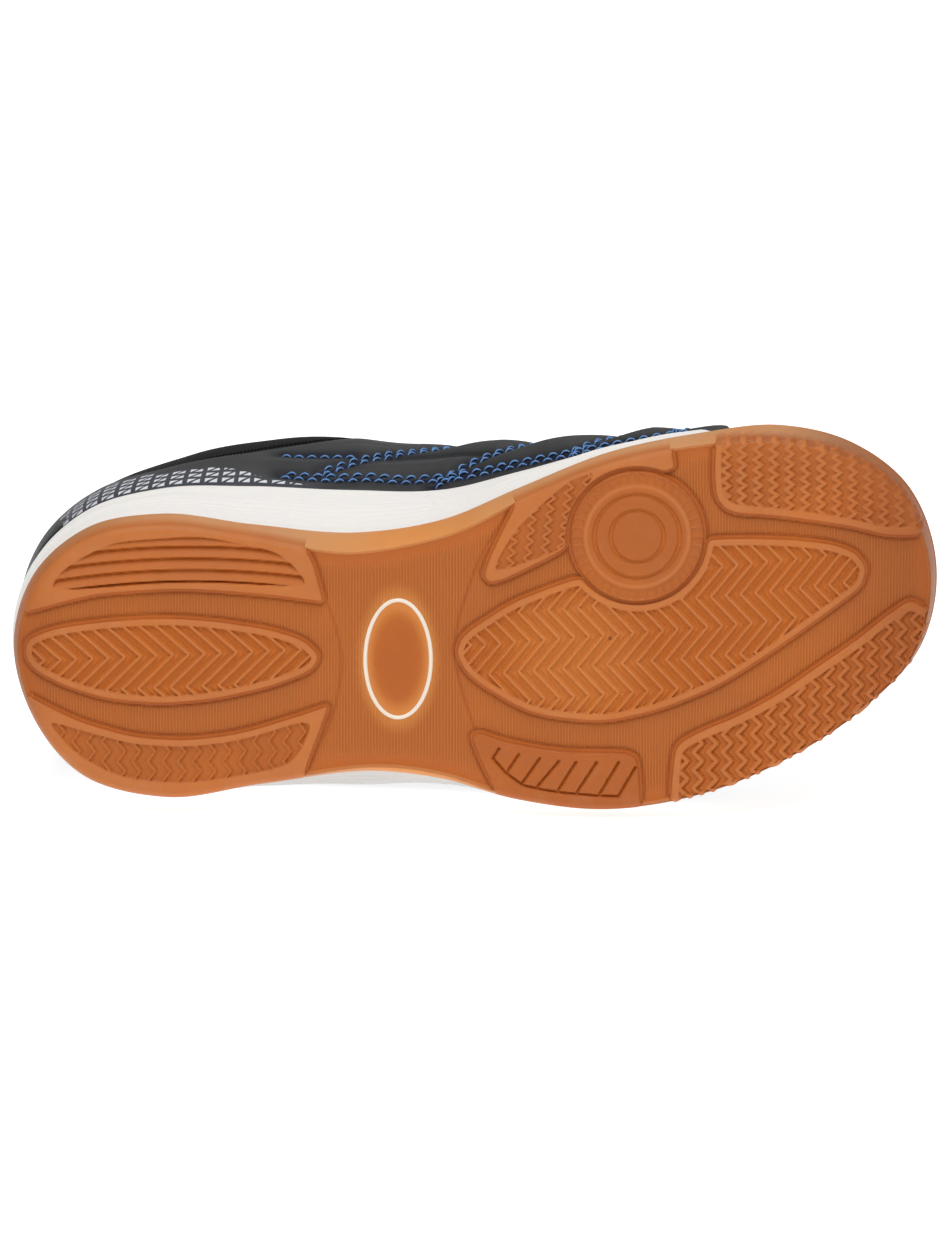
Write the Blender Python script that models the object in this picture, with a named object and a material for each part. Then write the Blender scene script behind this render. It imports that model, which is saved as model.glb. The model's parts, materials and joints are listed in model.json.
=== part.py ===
"""Indoor athletic shoe for the left foot, lying on its lateral side.

The shoe is drawn in its own frame in millimetres: x runs from heel to toe, y to the lateral side and
z up from the plane that heel and ball stand on. One empty then lays all the pieces down.
"""
import math
from collections import namedtuple

import bmesh
import bpy
import numpy as np
from mathutils import Matrix, Vector
from mathutils.bvhtree import BVHTree
from mathutils.geometry import delaunay_2d_cdt

MM = 0.001

# Driving dimensions, in millimetres.
LENGTH = 225.0
BALL_WIDTH = 87.0
INSTEP_HEIGHT = 88.0
HEEL_HEIGHT = 74.0

# The size that the tables below are drawn at, graded to the driving dimensions.
PATTERN_LENGTH = 225.0
PATTERN_BALL_WIDTH = 87.0
PATTERN_INSTEP = 88.0
PATTERN_HEEL = 74.0

GAP = 0.3
SEAT_GAP = 0.6
STATION_COUNT = 84
FILL_STEP = 11.0
FILL_STRETCH = 1.6
FILL_CLEAR = 0.45

# Outsole
TREAD_DEPTH = 1.5
OUTSOLE_THICKNESS = 4.5
GUM_WALL = 2.0
GUM_FOOT = 0.5
EDGE_ROUND = 0.8
EDGE_HEIGHT = 0.6
BELLY_REACH, BELLY_HEIGHT = 0.7, 0.45
LIP_DROP, LIP_WIDTH, LIP_SLOPE = 0.5, 0.6, 0.2
PAD_MARGIN = 0.7
DISC_STEPS, LEAF_ARC_STEPS, TRIANGLE_ARC_STEPS = 28, 12, 7
HEEL_BEVEL = 2.0
HEEL_BEVEL_END = 10.0
ARCH_LIFT = 3.0
ARCH_START, ARCH_END = 70.0, 119.0
TOE_SPRING = 9.0
TOE_SPRING_START = 170.0
TOE_SPRING_CURVE = 1.7

# Midsole and insole
FLOOR_HEEL, FLOOR_BALL = 15.0, 10.0
FALL_START, FALL_END = 60.0, 130.0
FLOOR_INSET = 1.6
BARE_START, BARE_BLEND = 3.0, 2.0
SHOULDER_RISE, SHOULDER_DROP = 0.1, 2.5
LEDGE_RISE, LEDGE_DROP, LEDGE_INSET = 0.35, 2.0, 0.4
MIDSOLE_BULGE = 1.0
HIDDEN_SIDE_DROP = 1.4
RIM_CHAMFER, RIM_CHAMFER_DROP = 0.4, 0.7
INSOLE_THICKNESS = 4.0
INSOLE_CHAMFER = 1.0

# Window ring in the waist
RING_CENTRE = (93.6, 4.1)
RING_HALF_AXES = (8.7, 15.4)
RING_WIDTH = 1.3
RING_DEPTH = 0.9
RING_PROUD = 0.2
RING_POINTS = 32

# Upper
WALL = 2.2
SIDE_ROWS = 9
COLLAR_ROUND = 1.0
PAD_START, PAD_FULL = 0.45, 0.9
INSTEP_X = 98.0
OUTWARD_LEAN = 10.0

# Tongue and lace
TONGUE_EDGE = 2.0
TONGUE_ROWS = 12
TONGUE_COLUMNS = 9
LACE_WIDTH = 5.0
LACE_THICKNESS = 1.4
LACE_STEPS = 9
THROAT_READINGS = 60
EYELET_SPREAD = 17.0
EYELET_FRONT, EYELET_TOP = 146.0, 101.0
EYELET_PAIRS = 5

# Round the sole from the heel along the medial side to the toe and back along the lateral side.
# x, y: edge of the tread; flare, wrap: reach and height of the gum's edge; rim_out, rim: reach and
# height of the midsole's rim; cup: thickness of that rim.
Sole = namedtuple("Sole", "x y flare wrap rim_out rim cup")
SOLE = (
    Sole(1.2, 0.6, 1.2, 8.0, 1.0, 25.0, 2.0),
    Sole(6.7, -16.0, 1.4, 8.0, 1.6, 25.0, 2.0),
    Sole(19.5, -26.6, 1.5, 8.0, 2.4, 25.0, 2.0),
    Sole(36.0, -29.5, 1.6, 8.0, 4.2, 25.0, 2.0),
    Sole(58.0, -26.8, 1.6, 8.5, 7.4, 25.5, 2.0),
    Sole(85.0, -22.6, 3.2, 11.0, 10.3, 26.5, 2.0),
    Sole(106.0, -27.0, 2.6, 9.5, 6.8, 24.5, 2.0),
    Sole(124.0, -36.1, 1.6, 8.0, 2.9, 20.5, 2.0),
    Sole(146.0, -45.2, 1.4, 8.0, 0.6, 16.6, 2.0),
    Sole(167.0, -49.6, 1.2, 9.5, -0.1, 14.8, 1.8),
    Sole(187.0, -50.3, 1.0, 17.0, -1.3, 16.4, 0.9),
    Sole(203.5, -45.8, 1.2, 19.0, -1.1, 18.4, 0.9),
    Sole(216.2, -36.0, 1.5, 20.0, -0.8, 19.4, 0.9),
    Sole(223.8, -15.4, 1.6, 20.0, -0.7, 19.4, 0.9),
    Sole(220.0, 4.0, 1.6, 19.5, -0.7, 18.9, 0.9),
    Sole(207.3, 17.4, 1.5, 18.0, -0.8, 17.4, 0.9),
    Sole(190.0, 28.5, 1.3, 15.0, -1.2, 14.4, 0.9),
    Sole(168.0, 37.5, 1.3, 9.0, 0.6, 14.8, 1.8),
    Sole(144.0, 41.2, 1.3, 8.0, 1.2, 16.6, 2.0),
    Sole(123.0, 38.5, 1.6, 8.0, 2.8, 20.0, 2.0),
    Sole(105.0, 33.4, 2.0, 9.0, 6.2, 23.5, 2.0),
    Sole(87.0, 31.5, 2.2, 10.5, 8.0, 25.0, 2.0),
    Sole(60.0, 34.7, 1.6, 8.5, 4.9, 25.5, 2.0),
    Sole(37.0, 38.0, 1.5, 8.0, 3.6, 25.0, 2.0),
    Sole(17.0, 32.4, 1.5, 8.0, 2.6, 25.0, 2.0),
    Sole(5.2, 17.6, 1.4, 8.0, 1.6, 25.0, 2.0),
)

# The upper over each row of SOLE. top_x, top_y, top_z: edge of collar and throat; swell, rise: how the
# side leaves the sole; reach, drop: how it comes in to that edge; pad: padding added to the wall there.
Last = namedtuple("Last", "top_x top_y top_z swell rise reach drop pad")
LAST = (
    Last(8.0, 2.0, 74.0, 3.0, 16.0, 5.0, 16.0, 3.0),
    Last(13.0, -14.0, 72.0, 3.0, 16.0, 4.0, 15.0, 3.0),
    Last(24.0, -24.2, 67.5, 2.5, 14.0, 3.5, 14.0, 3.2),
    Last(42.0, -31.4, 65.0, 2.5, 13.0, 3.0, 13.0, 3.4),
    Last(62.0, -35.6, 66.5, 5.0, 13.0, 4.5, 13.0, 3.2),
    Last(84.0, -27.5, 78.0, 14.0, 14.0, 15.0, 16.0, 2.4),
    Last(98.0, -14.0, 88.0, 15.0, 16.0, 25.0, 12.0, 0.8),
    Last(118.0, -13.5, 76.0, 13.0, 16.0, 23.5, 12.0, 0.5),
    Last(138.0, -13.0, 64.0, 9.0, 14.0, 20.5, 8.0, 0.5),
    Last(152.0, -12.5, 55.0, 8.5, 12.0, 21.0, 6.0, 0.3),
    Last(157.0, -11.0, 51.6, 5.0, 12.0, 25.0, 5.0, 0.3),
    Last(159.0, -8.5, 50.3, 2.0, 13.0, 26.0, 4.0, 0.3),
    Last(160.0, -6.5, 49.8, 1.5, 13.0, 28.0, 3.5, 0.3),
    Last(160.3, -4.5, 49.6, 1.0, 14.0, 30.0, 3.5, 0.3),
    Last(160.0, -2.0, 49.8, 1.0, 14.0, 28.0, 3.5, 0.3),
    Last(159.0, 0.5, 50.3, 1.5, 13.0, 26.0, 4.0, 0.3),
    Last(157.0, 3.0, 51.4, 2.0, 12.0, 24.0, 5.0, 0.3),
    Last(151.0, 5.5, 55.2, 4.0, 12.0, 20.0, 6.0, 0.3),
    Last(137.0, 8.0, 64.4, 5.0, 14.0, 20.0, 8.0, 0.5),
    Last(118.0, 11.0, 76.0, 7.0, 16.0, 22.0, 12.0, 0.5),
    Last(98.0, 13.0, 88.0, 9.0, 16.0, 23.0, 12.0, 0.8),
    Last(84.0, 27.0, 77.0, 10.0, 15.0, 12.0, 16.0, 2.4),
    Last(62.0, 34.0, 64.0, 4.5, 13.0, 4.0, 13.0, 3.2),
    Last(42.0, 33.0, 62.0, 2.5, 13.0, 3.0, 13.0, 3.4),
    Last(23.0, 26.0, 66.0, 2.5, 14.0, 3.5, 14.0, 3.2),
    Last(13.0, 16.0, 71.5, 3.0, 16.0, 4.0, 15.0, 3.0),
)

# Tread pads, in x and y. The edge of the tread cuts off what runs past it.
DISC_CENTRE = (152.0, -27.0)
DISC_RADIUS = 16.0
LEAF_ARC_RADIUS = 17.8
TRIANGLE_ARC_RADIUS = 18.2
HEEL_OVAL = (
    (3.5, 2.4), (10.2, -3.7), (23.1, -5.7), (37.5, -6.5), (49.1, -5.7), (62.3, -3.7), (70.8, -1.0),
    (74.7, 3.0), (72.7, 6.5), (62.3, 10.5), (49.1, 13.5), (36.2, 14.7), (23.1, 13.5), (13.4, 10.5),
    (5.6, 6.5),
)
HEEL_MEDIAL = (
    (-2.0, -6.5), (11.9, -10.7), (21.9, -13.0), (41.6, -14.2), (61.5, -12.7), (75.4, -10.7), (73.0, -21.0),
    (67.9, -28.5), (66.0, -40.0), (-2.0, -40.0),
)
HEEL_LATERAL = (
    (-2.0, 9.5), (4.6, 13.7), (16.5, 19.7), (29.7, 23.5), (42.6, 24.2), (55.7, 22.5), (76.6, 15.7),
    (70.8, 31.7), (68.0, 44.0), (-2.0, 44.0),
)
LEAF_REAR = ((111.4, 8.2), (108.0, 2.7), (109.7, -2.2), (121.4, -10.2), (129.6, -13.5))
LEAF_FRONT = (
    (180.9, -26.0), (190.7, -25.0), (201.1, -22.3), (207.4, -17.9), (205.7, -12.5), (186.3, 0.9),
    (171.9, 10.2), (157.6, 16.2), (144.5, 19.2), (132.3, 18.2), (124.3, 16.2),
)
LEAF_ARC = (143.0, 10.0)
BALL_MEDIAL = ((117.0, -15.0), (114.2, -17.5), (126.0, -42.0), (126.0, -56.0), (141.0, -56.0))
BALL_MEDIAL_ARC = (-124.0, -190.0)
TOE_MEDIAL = (
    (171.5, -62.0), (170.5, -37.7), (174.1, -33.0), (184.8, -32.2), (197.0, -30.2), (205.0, -28.5),
    (213.0, -26.1), (221.0, -25.7), (230.0, -29.0), (230.0, -62.0),
)
TOE_LATERAL = (
    (160.0, 48.0), (161.2, 27.0), (163.0, 24.5), (168.5, 21.5), (176.6, 18.2), (186.3, 13.1), (195.8, 6.5),
    (205.5, 0.2), (212.6, -5.4), (218.9, -9.6), (223.3, -6.5), (232.0, -2.0), (232.0, 48.0),
)
BALL_LATERAL = (
    (111.6, 23.7), (113.3, 22.2), (120.1, 24.5), (128.4, 26.2), (136.4, 27.2), (149.6, 27.2), (152.5, 29.0),
    (153.2, 48.0), (123.0, 48.0),
)

# Middle line of the tongue's upper face, from its free end to its root under the vamp.
Tongue = namedtuple("Tongue", "x y z half_width arch thickness")
TONGUE = (
    Tongue(78.0, 0.0, 101.0, 18.0, 0.014, 5.0),
    Tongue(85.0, 0.0, 96.2, 17.0, 0.018, 5.5),
    Tongue(92.0, -0.5, 91.2, 11.4, 0.022, 5.5),
    Tongue(99.0, -0.5, 87.0, 12.4, 0.023, 5.0),
    Tongue(118.0, -1.2, 75.6, 18.5, 0.0225, 4.5),
    Tongue(138.0, -2.6, 63.0, 16.5, 0.025, 4.0),
    Tongue(152.0, -3.6, 52.4, 13.0, 0.029, 3.5),
    Tongue(160.0, -4.3, 46.2, 11.0, 0.025, 3.2),
    Tongue(170.0, -5.0, 42.8, 10.0, 0.022, 3.0),
)

# Middle line of the lace's lower face over the throat.
Throat = namedtuple("Throat", "x y z")
THROAT = (
    Throat(92.0, 0.0, 95.4),
    Throat(101.0, -0.3, 90.2),
    Throat(118.0, -1.2, 79.5),
    Throat(138.0, -2.5, 67.2),
    Throat(152.0, -3.5, 58.8),
)
LACE_ARCH = 0.0135

Finish = namedtuple("Finish", "colour roughness density")
FINISHES = {
    "outsole": Finish((0.44, 0.16, 0.045), 0.45, 1.15),
    "window_ring": Finish((0.86, 0.80, 0.72), 0.5, 1.15),
    "midsole": Finish((0.86, 0.84, 0.81), 0.6, 0.30),
    "insole": Finish((0.05, 0.05, 0.06), 0.9, 0.25),
    "upper": Finish((0.025, 0.026, 0.03), 0.45, 0.75),
    "tongue": Finish((0.025, 0.026, 0.03), 0.8, 0.35),
    "lace": Finish((0.02, 0.02, 0.022), 0.85, 0.60),
}
SMOOTH_ANGLE = math.radians(35.0)


def smoothstep(start, end, value):
    """Share from 0 at start to 1 at end, level at both."""
    share = np.clip((np.asarray(value, dtype=float) - start) / (end - start), 0.0, 1.0)
    return share * share * (3.0 - 2.0 * share)


def lift(x):
    """Height of the tread's face: bevelled at the heel, flat, arched, flat, then sprung at the toe."""
    x = np.asarray(x, dtype=float)
    heel = HEEL_BEVEL * np.clip(1.0 - x / HEEL_BEVEL_END, 0.0, None) ** 2
    waist = np.clip((x - ARCH_START) / (ARCH_END - ARCH_START), 0.0, 1.0)
    front = np.clip((x - TOE_SPRING_START) / (LENGTH - TOE_SPRING_START), 0.0, None)
    return heel + ARCH_LIFT * np.sin(math.pi * waist) ** 2 + TOE_SPRING * front ** TOE_SPRING_CURVE


def footbed(x):
    """Height of the midsole's floor, which falls from heel to ball and rises with the toe spring."""
    fall = smoothstep(FALL_START, FALL_END, x)
    spring = np.where(np.asarray(x) > TOE_SPRING_START, lift(x), 0.0)
    return FLOOR_HEEL + (FLOOR_BALL - FLOOR_HEEL) * fall + spring


def graded_rows():
    """Rows of both tables side by side, graded from the pattern's size to the driving dimensions."""
    rows = np.array([tuple(sole) + tuple(last) for sole, last in zip(SOLE, LAST)])
    columns = Sole._fields + Last._fields
    along = LENGTH / PATTERN_LENGTH
    across = BALL_WIDTH / PATTERN_BALL_WIDTH
    for name in ("x", "top_x"):
        rows[:, columns.index(name)] *= along
    for name in ("y", "top_y"):
        rows[:, columns.index(name)] *= across
    instep_share = smoothstep(0.0, INSTEP_X * along, rows[:, columns.index("top_x")])
    heel_scale = HEEL_HEIGHT / PATTERN_HEEL
    instep_scale = INSTEP_HEIGHT / PATTERN_INSTEP
    rows[:, columns.index("top_z")] *= heel_scale + (instep_scale - heel_scale) * instep_share
    return rows, columns


def spline(rows, lengths, places, closed):
    """Smooth curve through rows at the running lengths given, read at places."""
    if closed:
        total = lengths[-1]
        rows = np.vstack([rows[-2:], rows, rows[:2]])
        step = np.diff(lengths)
        lengths = np.concatenate([[-step[-1] - step[-2], -step[-1]], lengths[:-1], [total, total + step[0]]])
    slopes = np.gradient(rows, lengths, axis=0)
    cell = np.clip(np.searchsorted(lengths, places, side="right") - 1, 0, len(lengths) - 2)
    width = (lengths[cell + 1] - lengths[cell])[:, None]
    t = (places - lengths[cell])[:, None] / width
    start, end = rows[cell], rows[cell + 1]
    return (
        start * (1 + 2 * t) * (1 - t) ** 2 + slopes[cell] * width * t * (1 - t) ** 2
        + end * t * t * (3 - 2 * t) + slopes[cell + 1] * width * t * t * (t - 1)
    )


def running_length(points):
    """Length along a line of points, from zero at the first."""
    return np.concatenate([[0.0], np.cumsum(np.linalg.norm(np.diff(points, axis=0), axis=1))])


class Stations:
    """The tables read at even steps round the sole, with the outward normal of the tread's edge."""

    def __init__(self):
        rows, columns = graded_rows()
        lengths = running_length(np.vstack([rows[:, :2], rows[:1, :2]]))
        places = np.arange(STATION_COUNT) * lengths[-1] / STATION_COUNT
        values = spline(rows, lengths, places, closed=True)
        for index, name in enumerate(columns):
            setattr(self, name, values[:, index])
        self.edge = values[:, :2]
        along = np.roll(self.edge, -1, axis=0) - np.roll(self.edge, 1, axis=0)
        self.normal = np.stack([along[:, 1], -along[:, 0]], axis=1)
        self.normal /= np.linalg.norm(self.normal, axis=1)[:, None]
        self.top = np.stack([self.top_x, self.top_y, self.top_z], axis=1)
        self.bare = np.clip((self.rim - self.wrap - BARE_START) / BARE_BLEND, 0.0, 1.0)
        hidden_rim = np.minimum(self.rim_out, self.gum_inside(self.rim) - SEAT_GAP)
        self.rim_reach = np.where(self.bare > 0.0, self.rim_out, hidden_rim)
        self.cup_reach = self.rim_reach - self.cup
        self.floor_reach = np.minimum(self.cup_reach, self.flare - FLOOR_INSET)

    def gum_inside(self, height):
        """Reach of the gum wall's inner face, a straight slope from the tray's floor to its top."""
        floor = lift(self.edge[:, 0]) + OUTSOLE_THICKNESS
        share = np.clip((height - floor) / (self.wrap - floor), 0.0, 1.0)
        return self.flare * (GUM_FOOT + (1.0 - GUM_FOOT) * share) - GUM_WALL

    def ring(self, reach, height):
        """Points at a reach outside the tread's edge; height is a number, an array or a function of x."""
        flat = self.edge + self.normal * np.broadcast_to(reach, STATION_COUNT)[:, None]
        level = height(flat[:, 0]) if callable(height) else np.broadcast_to(height, STATION_COUNT)
        return np.column_stack([flat, level])


class Shell:
    """Points and faces of one closed solid, gathered piece by piece."""

    def __init__(self):
        self.points = []
        self.faces = []

    def add(self, points):
        """Adds points and returns their numbers."""
        first = len(self.points)
        self.points.extend(tuple(point) for point in points)
        return list(range(first, len(self.points)))

    def band(self, lower, upper):
        """Quads between two closed rings that run anticlockwise seen from above."""
        for i, j in zip(range(len(lower)), list(range(1, len(lower))) + [0]):
            self.faces.append((lower[i], lower[j], upper[j], upper[i]))

    def cap(self, ring, height, facing_up):
        """Fills a ring with triangles whose inner corners lie on height(x)."""
        loop = np.array([self.points[i][:2] for i in ring])
        inner = grid_inside(loop)
        inner_numbers = self.add(np.column_stack([inner, height(inner[:, 0])]))
        numbers = ring + inner_numbers
        for triangle, _ in fill([loop], inner):
            corners = [numbers[i] for i in triangle]
            self.faces.append(corners if facing_up else corners[::-1])


def grid_inside(loop):
    """Grid points inside a loop and well clear of it."""
    low, high = loop.min(axis=0), loop.max(axis=0)
    xs = np.arange(low[0] + FILL_STEP / 2, high[0], FILL_STEP)
    ys = np.arange(low[1] + FILL_STEP / 2, high[1], FILL_STEP * FILL_STRETCH)
    points = np.array([(x, y) for x in xs for y in ys])
    distance = np.linalg.norm(points[:, None, :] - loop[None, :, :], axis=2).min(axis=1)
    return points[(distance > FILL_STEP * FILL_CLEAR) & inside(loop, points)]


def inside(loop, points):
    """Whether each point lies inside a closed loop, by counting crossings."""
    result = np.zeros(len(points), dtype=bool)
    for (x0, y0), (x1, y1) in zip(loop, np.roll(loop, -1, axis=0)):
        spans = (y0 > points[:, 1]) != (y1 > points[:, 1])
        crossing = x0 + (points[:, 1] - y0) * (x1 - x0) / ((y1 - y0) or 1e-12)
        result ^= spans & (points[:, 0] < crossing)
    return result


def signed_area(loop):
    """Area inside a loop, positive where it runs anticlockwise."""
    here = np.array(loop, dtype=float)
    ahead = np.roll(here, -1, axis=0)
    return 0.5 * float(np.sum(here[:, 0] * ahead[:, 1] - ahead[:, 0] * here[:, 1]))


def fill(loops, extra=(), keep_points=False):
    """Triangles inside the first loop, each with the set of further loops that it lies in.

    With keep_points the triangulation's own points come back too, because crossing loops add some.
    """
    points, faces = [], []
    for loop in loops:
        corners = list(range(len(points), len(points) + len(loop)))
        faces.append(corners if signed_area(loop) > 0.0 else corners[::-1])
        points.extend(Vector(point) for point in loop)
    points.extend(Vector(point) for point in extra)
    out_points, _, out_faces, came_from, _, in_loops = delaunay_2d_cdt(points, [], faces, 1, 1e-5)
    triangles = []
    for face, owners in zip(out_faces, in_loops):
        if 0 in owners:
            corners = tuple(face) if keep_points else tuple(came_from[i][0] for i in face)
            triangles.append((corners, set(owners) - {0}))
    return (np.array([tuple(point) for point in out_points]), triangles) if keep_points else triangles


def arc(centre, radius, start_deg, end_deg, steps):
    """Points on an arc, both ends included."""
    angles = np.radians(np.linspace(start_deg, end_deg, steps + 1))
    return [(centre[0] + radius * math.cos(a), centre[1] + radius * math.sin(a)) for a in angles]


def ellipse(half_axes):
    """Loop round the window at the half axes given."""
    angles = np.arange(RING_POINTS) * 2.0 * math.pi / RING_POINTS
    return np.column_stack([
        RING_CENTRE[0] + half_axes[0] * np.cos(angles), RING_CENTRE[1] + half_axes[1] * np.sin(angles),
    ])


def tread_pads():
    """Outlines of the main lugs."""
    leaf = LEAF_REAR + tuple(arc(DISC_CENTRE, LEAF_ARC_RADIUS, *LEAF_ARC, LEAF_ARC_STEPS)) + LEAF_FRONT
    triangle_arc = arc(DISC_CENTRE, TRIANGLE_ARC_RADIUS, *BALL_MEDIAL_ARC, TRIANGLE_ARC_STEPS)
    triangle = BALL_MEDIAL + tuple(triangle_arc)
    disc = arc(DISC_CENTRE, DISC_RADIUS, 0.0, 360.0 - 360.0 / DISC_STEPS, DISC_STEPS - 1)
    heel = [HEEL_OVAL, HEEL_MEDIAL, HEEL_LATERAL]
    return heel + [leaf, triangle, disc, TOE_MEDIAL, TOE_LATERAL, BALL_LATERAL]


def tread_face(shell, rim, stations):
    """Underside of the outsole: base, raised pads and the groove of the window ring, inside ring rim."""
    clip = stations.ring(-EDGE_ROUND - PAD_MARGIN, 0.0)[:, :2]
    groove_out = ellipse((RING_HALF_AXES[0] + GAP, RING_HALF_AXES[1] + GAP))
    inner_axes = (RING_HALF_AXES[0] - RING_WIDTH - GAP, RING_HALF_AXES[1] - RING_WIDTH - GAP)
    pads = tread_pads()
    grooves = {len(pads) + 1, len(pads) + 2}
    points, triangles = fill([clip] + pads + [groove_out, ellipse(inner_axes)], grid_inside(clip), True)
    level_of = {"pad": 0.0, "base": TREAD_DEPTH, "groove": TREAD_DEPTH + RING_DEPTH + GAP}
    numbers = {}

    def number(point, level):
        if (point, level) not in numbers:
            x, y = points[point]
            numbers[point, level] = shell.add([(x, y, float(lift(x)) + level_of[level])])[0]
        return numbers[point, level]

    sides = {}
    for corners, owners in triangles:
        in_groove = len(owners & grooves) == 1
        level = "groove" if in_groove else "pad" if owners - grooves else "base"
        shell.faces.append(tuple(number(point, level) for point in corners[::-1]))
        for a, b in zip(corners, corners[1:] + corners[:1]):
            sides[a, b] = level
    border = {}
    for (a, b), level in sides.items():
        across = sides.get((b, a))
        if across is None:
            border[a] = (b, level)
        elif a < b and across != level:
            shell.faces.append((number(a, level), number(b, level), number(b, across), number(a, across)))
    for a, (b, level) in border.items():
        if level == "pad":
            shell.faces.append((number(a, "pad"), number(b, "pad"), number(b, "base"), number(a, "base")))
    loop = [next(iter(border))]
    while border[loop[-1]][0] != loop[0]:
        loop.append(border[loop[-1]][0])
    edge = np.array([shell.points[i][:2] for i in rim])
    loop_numbers = [number(point, "base") for point in loop]
    for corners, owners in fill([edge, points[loop]]):
        if not owners:
            shell.faces.append(tuple((rim + loop_numbers)[i] for i in corners[::-1]))


def outsole(stations):
    """Gum tray with the tread under it, its edge wrapped up the midsole and over the toe."""
    shell = Shell()
    ground = lift(stations.edge[:, 0])
    tall = stations.wrap - ground
    rings = [shell.add(ring) for ring in (
        stations.ring(-EDGE_ROUND, lambda x: lift(x) + TREAD_DEPTH),
        stations.ring(0.0, ground + TREAD_DEPTH * EDGE_HEIGHT),
        stations.ring(stations.flare * BELLY_REACH, ground + tall * BELLY_HEIGHT),
        stations.ring(stations.flare, stations.wrap - LIP_DROP),
        stations.ring(stations.flare - LIP_WIDTH, stations.wrap),
        stations.ring(stations.gum_inside(stations.wrap), stations.wrap - LIP_SLOPE),
        stations.ring(stations.gum_inside(0.0), lambda x: lift(x) + OUTSOLE_THICKNESS),
    )]
    tread_face(shell, rings[0], stations)
    for lower, upper in zip(rings, rings[1:]):
        shell.band(lower, upper)
    shell.cap(rings[-1], lambda x: lift(x) + OUTSOLE_THICKNESS, facing_up=True)
    return shell


def window_ring():
    """Oval ring that lies in its groove and stands a little proud of the waist."""
    shell = Shell()
    outer = RING_HALF_AXES
    inner = (RING_HALF_AXES[0] - RING_WIDTH, RING_HALF_AXES[1] - RING_WIDTH)

    def ring(axes, level):
        loop = ellipse(axes)
        return shell.add(np.column_stack([loop, lift(loop[:, 0]) + level]))

    bottom, top = TREAD_DEPTH - RING_PROUD, TREAD_DEPTH + RING_DEPTH
    rings = [ring(inner, bottom), ring(outer, bottom), ring(outer, top), ring(inner, top)]
    for lower, upper in zip(rings, rings[1:] + rings[:1]):
        shell.band(lower, upper)
    return shell


def midsole(stations):
    """Foam cup: seated in the outsole's tray, full at the side, with a floor inside its rim."""
    shell = Shell()
    bare = stations.bare
    shoulder = np.minimum(stations.wrap + SHOULDER_RISE, stations.rim - SHOULDER_DROP)
    ledge = np.minimum(stations.wrap + LEDGE_RISE, stations.rim - LEDGE_DROP)
    middle = np.where(bare > 0.0, (stations.wrap + stations.rim) / 2, stations.rim - HIDDEN_SIDE_DROP)
    inside_gum = stations.gum_inside(middle) - SEAT_GAP
    full = (stations.flare + stations.rim_out) / 2 + MIDSOLE_BULGE
    side = inside_gum + (full - inside_gum) * bare
    ledge_inside = stations.gum_inside(ledge) - SEAT_GAP
    ledge_reach = ledge_inside + (stations.flare - LEDGE_INSET - ledge_inside) * bare
    rings = [shell.add(ring) for ring in (
        stations.ring(stations.gum_inside(0.0) - GAP, lambda x: lift(x) + OUTSOLE_THICKNESS + GAP),
        stations.ring(stations.gum_inside(shoulder) - SEAT_GAP, shoulder),
        stations.ring(ledge_reach, ledge),
        stations.ring(side, middle),
        stations.ring(stations.rim_reach, stations.rim - RIM_CHAMFER_DROP),
        stations.ring(stations.rim_reach - RIM_CHAMFER, stations.rim),
        stations.ring(stations.cup_reach, stations.rim),
        stations.ring(stations.floor_reach, footbed),
    )]
    shell.cap(rings[0], lambda x: lift(x) + OUTSOLE_THICKNESS + GAP, facing_up=False)
    for lower, upper in zip(rings, rings[1:]):
        shell.band(lower, upper)
    shell.cap(rings[-1], footbed, facing_up=True)
    return shell


def insole(stations):
    """Footbed inside the upper's lower edge."""
    shell = Shell()
    reach = stations.floor_reach - SEAT_GAP - WALL - 2.0 * GAP
    rings = [shell.add(ring) for ring in (
        stations.ring(reach, lambda x: footbed(x) + GAP),
        stations.ring(reach, lambda x: footbed(x) + GAP + INSOLE_THICKNESS - INSOLE_CHAMFER),
        stations.ring(reach - INSOLE_CHAMFER, lambda x: footbed(x) + GAP + INSOLE_THICKNESS),
    )]
    shell.cap(rings[0], lambda x: footbed(x) + GAP, facing_up=False)
    for lower, upper in zip(rings, rings[1:]):
        shell.band(lower, upper)
    shell.cap(rings[-1], lambda x: footbed(x) + GAP + INSOLE_THICKNESS, facing_up=True)
    return shell


def upper_side(stations):
    """Outer face of the upper: rows of points from the sole up to the collar and throat."""
    seat = stations.ring(stations.floor_reach - SEAT_GAP, lambda x: footbed(x) + GAP)
    start = stations.ring(stations.cup_reach - SEAT_GAP, stations.rim + GAP)
    inward = start[:, :2] - stations.top[:, :2] + OUTWARD_LEAN * stations.normal
    inward /= np.linalg.norm(inward, axis=1)[:, None]
    leave = start + np.column_stack([stations.normal * stations.swell[:, None], stations.rise])
    arrive = stations.top + np.column_stack([inward * stations.reach[:, None], -stations.drop])
    rows = [seat]
    for t in np.linspace(0.0, 1.0, SIDE_ROWS + 1):
        rows.append(
            start * (1 - t) ** 3 + leave * 3 * t * (1 - t) ** 2
            + arrive * 3 * t * t * (1 - t) + stations.top * t ** 3
        )
    return np.array(rows)


def face_normals(grid):
    """Outward normals of rows of points that run round the shoe."""
    around = np.roll(grid, -1, axis=1) - np.roll(grid, 1, axis=1)
    upward = np.gradient(grid, axis=0)
    normals = np.cross(around, upward)
    return normals / np.linalg.norm(normals, axis=2)[:, :, None]


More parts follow.
